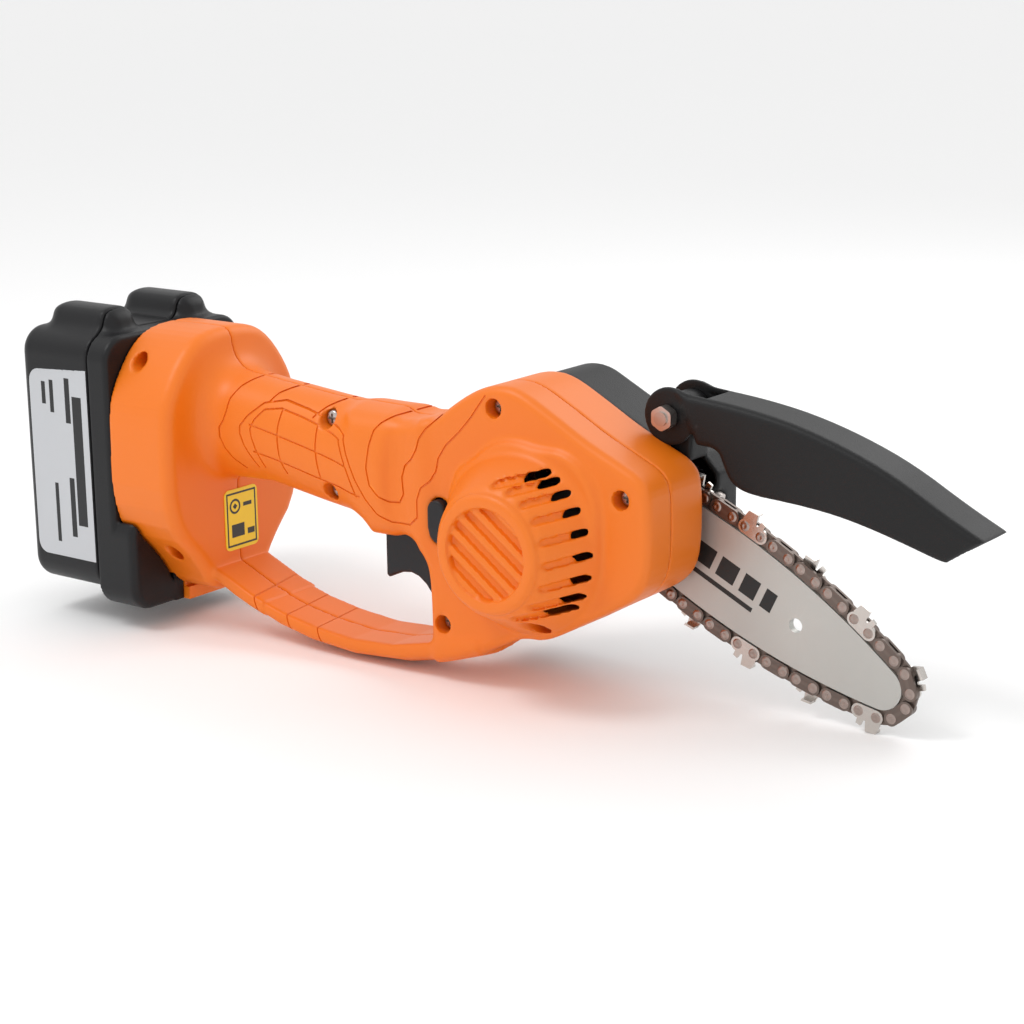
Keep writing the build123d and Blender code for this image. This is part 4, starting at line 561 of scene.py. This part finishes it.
def guardField(space):
    x, y, z = space["x"], space["y"], space["z"]
    px, pz = guardShape["pivot"]
    line = polygonField(guardLine, x, z)
    channel = slab(line, y, guardShape["half"], 2.6)
    dropped = line + guardShape["wall"]
    for drop in (2.5, 5.0, 7.5, 10.0, 12.5):
        lower = polygonField([(a, b - drop) for a, b in guardLine], x, z)
        dropped = np.minimum(dropped, lower + guardShape["wall"])
    hollowed = both(dropped, np.abs(y) - guardShape["half"] + guardShape["wall"], 1.5)
    hollowed = both(hollowed, 50.0 - x)
    pivot = np.hypot(x - px, z - pz)
    ear = both(pivot - guardShape["earRadius"], np.abs(y) - guardShape["half"] + 0.8, 0.8)
    earGap = both(pivot - 16, np.abs(y) - guardShape["half"] + guardShape["wall"] + 0.8)
    whole = joined(channel, ear, 1.6)
    whole = both(whole, -np.minimum(hollowed, earGap), 0.4)
    return both(whole, 2.7 - pivot)


guardPiece = meshOf("chain_guard", guardField(guardSpace), guardSpace)
finishPiece(guardPiece, finishes["black_plastic"], "guard_group", "black_plastic", "guard")

# Battery shells, with two lumps on top and a nose that fills the room under the foot's chamfer
battery = {"step": 0.7, "seam": -187.0, "front": -176.3, "half": 37.5, "wall": 2.2, "gap": 0.22}
batterySpace = makeSpace((-227, -67, -72), (-164.5, 13, 51), battery["step"])


lumpLine = softened([
    (-9.5, 26), (9.5, 26), (9.5, 38), (7.5, 46), (3.5, 47.9), (-3.5, 47.9), (-7.5, 46), (-9.5, 38),
], 2)


def batteryLine(space, low, high, corner):
    across, up = space["y"] - partingY, space["z"] - (low + high) / 2
    a, b = np.abs(across) - battery["half"] + corner, np.abs(up) - (high - low) / 2 + corner
    return np.minimum(np.maximum(a, b), 0) + np.hypot(np.maximum(a, 0), np.maximum(b, 0)) - corner


def batteryField(space):
    x, y, z = space["x"], space["y"], space["z"]
    rearBox = slab(batteryLine(space, -64.0, 39.0, 10.0), x + 196, 29.0, 5.0)
    frontBox = slab(batteryLine(space, -69.8, 38.6, 10.0), x + 190, 190 + battery["front"], 2.0)
    body = np.where(x < battery["seam"], rearBox, frontBox)
    for side in (-20.0, 20.0):
        lump = slab(polygonField(lumpLine, y - partingY - side, z), x + 200.5, 18.4, 7.5)
        body = joined(body, lump, 4.0)
    return body


def noseField(space):
    # under the foot's chamfer, clear of it
    x, y, z = space["x"], space["y"], space["z"]
    foot = polygonField(footLine, y, z)
    nose = slab(batteryLine(space, -69.8, -30.0, 10.0), x + 176, 9.6, 3.0)
    return both(nose, 0.9 - foot, 0.5)


whole = batteryField(batterySpace)
shellWall = both(whole, -(whole + battery["wall"]))
shellWall = np.minimum(shellWall, noseField(batterySpace))
bx = batterySpace["x"]
tongue = np.minimum(
    block(batterySpace, (-178, -40, -69.4), (-166.4, -14, 19.4), 0.5),
    block(batterySpace, (-169.4, -43, -69.4), (-166.4, -11, 19.4), 0.5),
)
for side in (-9.0, 0.0, 9.0):
    tongue = both(tongue, -block(batterySpace, (-174.4, -27.9 + side, -2.6), (-160, -26.1 + side, 25)))
tongue = both(tongue, -block(batterySpace, (-173.3, -38.0, -80), (-160, -16.0, -30)))
frontHalf = both(shellWall, battery["seam"] + battery["gap"] - bx, 0.5)
frontHalf = both(frontHalf, -block(batterySpace, (-175, -38, -80), (-160, -16, -30)))
frontHalf = np.minimum(frontHalf, tongue)
rearHalf = both(shellWall, bx - battery["seam"] + battery["gap"], 0.5)
for name, field, node in (
    ("pack_rear", rearHalf, "battery_rear_shell"), ("pack_front", frontHalf, "battery_front_shell"),
):
    piece = meshOf(name, field, batterySpace)
    finishPiece(piece, finishes["battery_plastic"], "battery", "battery_plastic", node)


# Moulded cover over the sprocket: the designed solid with its edges rounded over
def softCopy(name, node, step, rounds):
    mesh = frame["nodes"][node].data
    mesh.calc_loop_triangles()
    points = (np.array([v.co[:] for v in mesh.vertices]) - anchor) / mm
    corners = np.array([t.vertices[:] for t in mesh.loop_triangles], dtype=np.uint32)
    lattice = openvdb.createLinearTransform(voxelSize=step)
    grid = openvdb.FloatGrid.createLevelSetFromPolygons(
        points.astype(np.float32), triangles=corners, transform=lattice, halfWidth=4,
    )
    low, high = (np.array(corner) for corner in grid.evalActiveVoxelBoundingBox())
    low = low - 3
    field = np.empty(tuple(high - low + 4), np.float32)
    grid.copyToArray(field, ijk=tuple(int(v) for v in low))
    for _ in range(rounds):
        for axis in range(3):
            field = (np.roll(field, 1, axis) + 2 * field + np.roll(field, -1, axis)) / 4
    return meshOf(name, field + 0.04, {"low": low * step, "step": step})


cover = softCopy("soft_cover", "sprocket_cover", 0.5, 5)
finishPiece(cover, finishes["black_plastic"], "saw_body", "black_plastic", "sprocket_cover")


# Heads that repeat: one shape set at each place read from the frame
def islandsOf(node):
    bm = bmesh.new()
    bm.from_mesh(frame["nodes"][node].data)
    bmesh.ops.remove_doubles(bm, verts=bm.verts, dist=1e-6)
    seen, boxes = set(), []
    for start in bm.verts:
        if start in seen:
            continue
        queue, points = [start], []
        seen.add(start)
        while queue:
            vert = queue.pop()
            points.append(vert.co[:])
            for edge in vert.link_edges:
                other = edge.other_vert(vert)
                if other not in seen:
                    seen.add(other)
                    queue.append(other)
        boxes.append((np.min(points, axis=0), np.max(points, axis=0)))
    bm.free()
    return boxes


def turnedShape(name, profile, sides):
    # a lathe shape about Y: (radius, y) from one end's middle to the other's
    points, faces = [(0, profile[0][1], 0)], []
    rings = profile[1:-1]
    for radius, depth in rings:
        for k in range(sides):
            turn = 2 * math.pi * k / sides
            points.append((radius * math.cos(turn), depth, radius * math.sin(turn)))
    points.append((0, profile[-1][1], 0))
    last = len(points) - 1
    for k in range(sides):
        n = (k + 1) % sides
        faces.append((0, 1 + n, 1 + k))
        for ring in range(len(rings) - 1):
            a, b = 1 + ring * sides, 1 + (ring + 1) * sides
            faces.append((a + k, a + n, b + n, b + k))
        faces.append((last, last - sides + k, last - sides + n))
    mesh = bpy.data.meshes.new(name)
    mesh.from_pydata(np.array(points) * mm, [], faces)
    piece = bpy.data.objects.new(name, mesh)
    scene.collection.objects.link(piece)
    sharpen(piece)
    return piece


def scatterTree():
    tree = bpy.data.node_groups.new("setAtPlaces", "GeometryNodeTree")
    for label, kind in (
        ("Places", "NodeSocketGeometry"), ("Shape", "NodeSocketObject"), ("Turn", "NodeSocketFloat"),
        ("Finish", "NodeSocketMaterial"),
    ):
        tree.interface.new_socket(label, in_out="INPUT", socket_type=kind)
    tree.interface.new_socket("Geometry", in_out="OUTPUT", socket_type="NodeSocketGeometry")
    nodes, links = tree.nodes, tree.links
    inputs, outputs = nodes.new("NodeGroupInput"), nodes.new("NodeGroupOutput")
    shape = nodes.new("GeometryNodeObjectInfo")
    links.new(inputs.outputs["Shape"], shape.inputs["Object"])
    spin = nodes.new("FunctionNodeRandomValue")
    spin.inputs["Seed"].default_value = 7
    links.new(inputs.outputs["Turn"], spin.inputs[3])
    angles = nodes.new("ShaderNodeCombineXYZ")
    links.new(spin.outputs[1], angles.inputs["Y"])
    place = nodes.new("GeometryNodeInstanceOnPoints")
    links.new(inputs.outputs["Places"], place.inputs["Points"])
    links.new(shape.outputs["Geometry"], place.inputs["Instance"])
    links.new(angles.outputs["Vector"], place.inputs["Rotation"])
    real = nodes.new("GeometryNodeRealizeInstances")
    links.new(place.outputs["Instances"], real.inputs["Geometry"])
    finish = nodes.new("GeometryNodeSetMaterial")
    links.new(real.outputs["Geometry"], finish.inputs["Geometry"])
    links.new(inputs.outputs["Finish"], finish.inputs["Material"])
    links.new(finish.outputs["Geometry"], outputs.inputs["Geometry"])
    return tree


placesTree = scatterTree()


def setAtPlaces(name, places, shape, turn, material):
    mesh = bpy.data.meshes.new(name)
    mesh.from_pydata(places, [], [])
    piece = bpy.data.objects.new(name, mesh)
    scene.collection.objects.link(piece)
    modifier = piece.modifiers.new("places", "NODES")
    modifier.node_group = placesTree
    for item in placesTree.interface.items_tree:
        if item.in_out == "INPUT" and item.name != "Places":
            modifier[item.identifier] = {"Shape": shape, "Turn": turn, "Finish": material}[item.name]
    made = bpy.data.meshes.new_from_object(piece.evaluated_get(bpy.context.evaluated_depsgraph_get()))
    piece.modifiers.clear()
    piece.data = made
    bpy.data.objects.remove(shape)
    print("set", name, len(places), "times,", len(made.polygons), "faces")
    return piece


rivetBoxes = islandsOf("chain_rivets")
low, high = rivetBoxes[0]
reach, half = (high[0] - low[0]) / 2 / mm, (high[1] - low[1]) / 2 / mm
domeLine = [(0, 0.12), (0.28 * reach, 0.1), (0.42 * reach, 0), (0.72 * reach, 0.1), (0.98 * reach, 0.42),
            (0.98 * reach, 0.62), (1.12, 0.66)]
rivetLine = [(radius, depth - half) for radius, depth in domeLine]
rivetLine += [(radius, half - depth) for radius, depth in reversed(domeLine)]
rivetPlaces = [tuple((a + b) / 2) for a, b in rivetBoxes]
rivetShape = turnedShape("rivetShape", rivetLine, 24)
rivets = setAtPlaces("rivet_row", rivetPlaces, rivetShape, 2 * math.pi, finishes["rivet_steel"])
finishPiece(rivets, finishes["rivet_steel"], "saw_body", "rivet_steel", "chain_rivets")

# Label foil with round corners, in place of the designed chamfers
labelLow, labelHigh = localBox("battery_label")
labelSpace = makeSpace(labelLow - 0.6, labelHigh + 0.6, 0.2)
vx, vy, vz = labelSpace["x"], labelSpace["y"], labelSpace["z"]
foilTop = np.interp(vx, (labelLow[0], labelHigh[0]), (labelHigh[2] - 2.0, labelHigh[2])).astype(np.float32)
foilU = np.maximum(labelLow[0] + 5.0 - vx, 0)
foilV = np.maximum(np.maximum(vz - foilTop + 5.0, labelLow[2] + 5.0 - vz), 0)
foil = both(np.hypot(foilU, foilV) - 5.0, vx - labelHigh[0])
foil = both(both(foil, vz - foilTop), both(labelLow[1] - vy, vy - labelHigh[1]))
foilPiece = meshOf("label_foil", foil, labelSpace, 0.4)
finishPiece(foilPiece, printedOn["battery_label"], "battery", "label_foil", "battery_label")

# Lock button, a pill with a slanted crown, and the trigger with its finger hollow
lockLow, lockHigh = localBox("lock_button")
lockSpace = makeSpace(lockLow - 1, lockHigh + 1, 0.28)
lx, ly, lz = lockSpace["x"], lockSpace["y"], lockSpace["z"]
lockMiddle = (lockLow + lockHigh) / 2
tallHalf = (lockHigh[2] - lockLow[2]) / 2 - 0.8
wideHalf = (lockHigh[0] - lockLow[0]) / 2 - 0.8
pillEnd = np.maximum(np.abs(lz - lockMiddle[2]) - tallHalf + wideHalf, 0)
pill = np.hypot(lx - lockMiddle[0], pillEnd) - wideHalf
crown = both(pill, (lockLow[1] - ly) + np.clip((lockMiddle[2] - 2 - lz) * 0.30, 0, 2), 1.2)
crown = both(crown, ly - lockHigh[1])
flange = both(both(pill - 0.75, ly - lockHigh[1]), lockHigh[1] - 1.9 - ly)
lockPill = meshOf("lock_pill", np.minimum(crown, flange), lockSpace)
finishPiece(lockPill, finishes["button_plastic"], "lock_group", "button_plastic", "lock_button")

triggerLow, triggerHigh = localBox("trigger")
triggerSpace = makeSpace(triggerLow - 1, triggerHigh + 1, 0.4)
triggerLine = [
    (-64.4, -18.9), (-64.4, -44.4), (-63.2, -45.2), (-60, -43.6), (-56.5, -42.3), (-52.5, -41.8),
    (-49, -42.8), (-45.6, -45.2), (-43.0, -48.4), (-42.2, -49.3), (-42.2, -18.9),
]
tx, ty, tz = triggerSpace["x"], triggerSpace["y"], triggerSpace["z"]
blade = slab(polygonField(triggerLine, tx, tz), ty - partingY, 6.95, 1.5)
blade = np.minimum(blade, block(triggerSpace, (-66.1, -36.4, -18.9), (-40.3, -17.6, -16.05), 0.4))
blade = np.minimum(blade, both(np.hypot(tx + 53.2, ty - partingY) - 1.9, np.abs(tz + 13) - 6.3))
triggerBlade = meshOf("trigger_blade", blade, triggerSpace)
finishPiece(triggerBlade, finishes["button_plastic"], "trigger_group", "button_plastic", "trigger")

# Springs: a copy of each designed spring stands in its place, and the designed one is hidden
for name, node, still, moving, axis, stillAtHigh in (
    ("trigger_coil", "trigger_spring", "saw_body", "trigger_group", 2, True),
    ("lock_coil", "lock_spring", "saw_body", "lock_group", 1, True),
    ("release_coil", "release_spring", "battery", "release_group", 0, False),
):
    low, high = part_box(node)
    middle = [(a + b) / 2 for a, b in zip(low, high)]
    lowEnd, highEnd = list(middle), list(middle)
    lowEnd[axis], highEnd[axis] = low[axis], high[axis]
    coil = bpy.data.objects.new(name, frame["nodes"][node].data.copy())
    scene.collection.objects.link(coil)
    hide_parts(node)
    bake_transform(coil)

# Floor, light and camera
bpy.ops.mesh.primitive_plane_add(size=30, location=(0, 0, 0))
floor = bpy.context.object
floor.name = "studioFloor"
floorMaterial, floorTree, floorShader = newMaterial("paleFloor")
floorShader.inputs["Base Color"].default_value = (1.0, 1.0, 1.0, 1)
floorShader.inputs["Roughness"].default_value = 0.75
floor.data.materials.append(floorMaterial)

world = bpy.data.worlds.new("studio")
world.use_nodes = True
world.node_tree.nodes["Background"].inputs["Color"].default_value = (1, 1, 1, 1)
worldNodes, worldLinks = world.node_tree.nodes, world.node_tree.links
rays = worldNodes.new("ShaderNodeLightPath")
glow = worldNodes.new("ShaderNodeMapRange")
glow.inputs["To Min"].default_value = 0.88
glow.inputs["To Max"].default_value = 0.9
worldLinks.new(rays.outputs["Is Camera Ray"], glow.inputs["Value"])
worldLinks.new(glow.outputs["Result"], worldNodes["Background"].inputs["Strength"])
scene.world = world
scene.view_settings.view_transform = "Standard"


def areaLight(name, place, target, size, power):
    data = bpy.data.lights.new(name, "AREA")
    data.shape = "DISK"
    data.size = size
    data.energy = power
    light = bpy.data.objects.new(name, data)
    light.location = place
    light.rotation_euler = (Vector(target) - Vector(place)).to_track_quat("-Z", "Y").to_euler()
    scene.collection.objects.link(light)


areaLight("key", (-0.35, -0.55, 1.0), (0, 0, 0.05), 0.4, 3.4)
areaLight("fill", (0.9, -0.6, 0.45), (0.05, 0, 0.05), 0.8, 0.3)
areaLight("back", (0.1, 0.8, 0.7), (0, 0, 0.05), 0.6, 1.8)

view = {"azimuth": 37.0, "elevation": 14.39, "roll": -0.78, "at": (482.42, -680.72, 196.14), "focal": 82.7}
sa, ca = math.sin(math.radians(view["azimuth"])), math.cos(math.radians(view["azimuth"]))
se, ce = math.sin(math.radians(view["elevation"])), math.cos(math.radians(view["elevation"]))
back = Vector((sa * ce, -ca * ce, se))
across = Vector((ca, sa, 0))
up = back.cross(across)
cr, sr = math.cos(math.radians(view["roll"])), math.sin(math.radians(view["roll"]))
turned = Matrix((cr * across + sr * up, cr * up - sr * across, back)).transposed().to_4x4()
turned.translation = Vector(np.array(view["at"]) * mm + anchor)
cameraData = bpy.data.cameras.new("camera")
cameraData.lens = view["focal"]
cameraData.sensor_width = 36
camera = bpy.data.objects.new("camera", cameraData)
camera.matrix_world = turned
scene.collection.objects.link(camera)
scene.camera = camera

print("all pieces made")
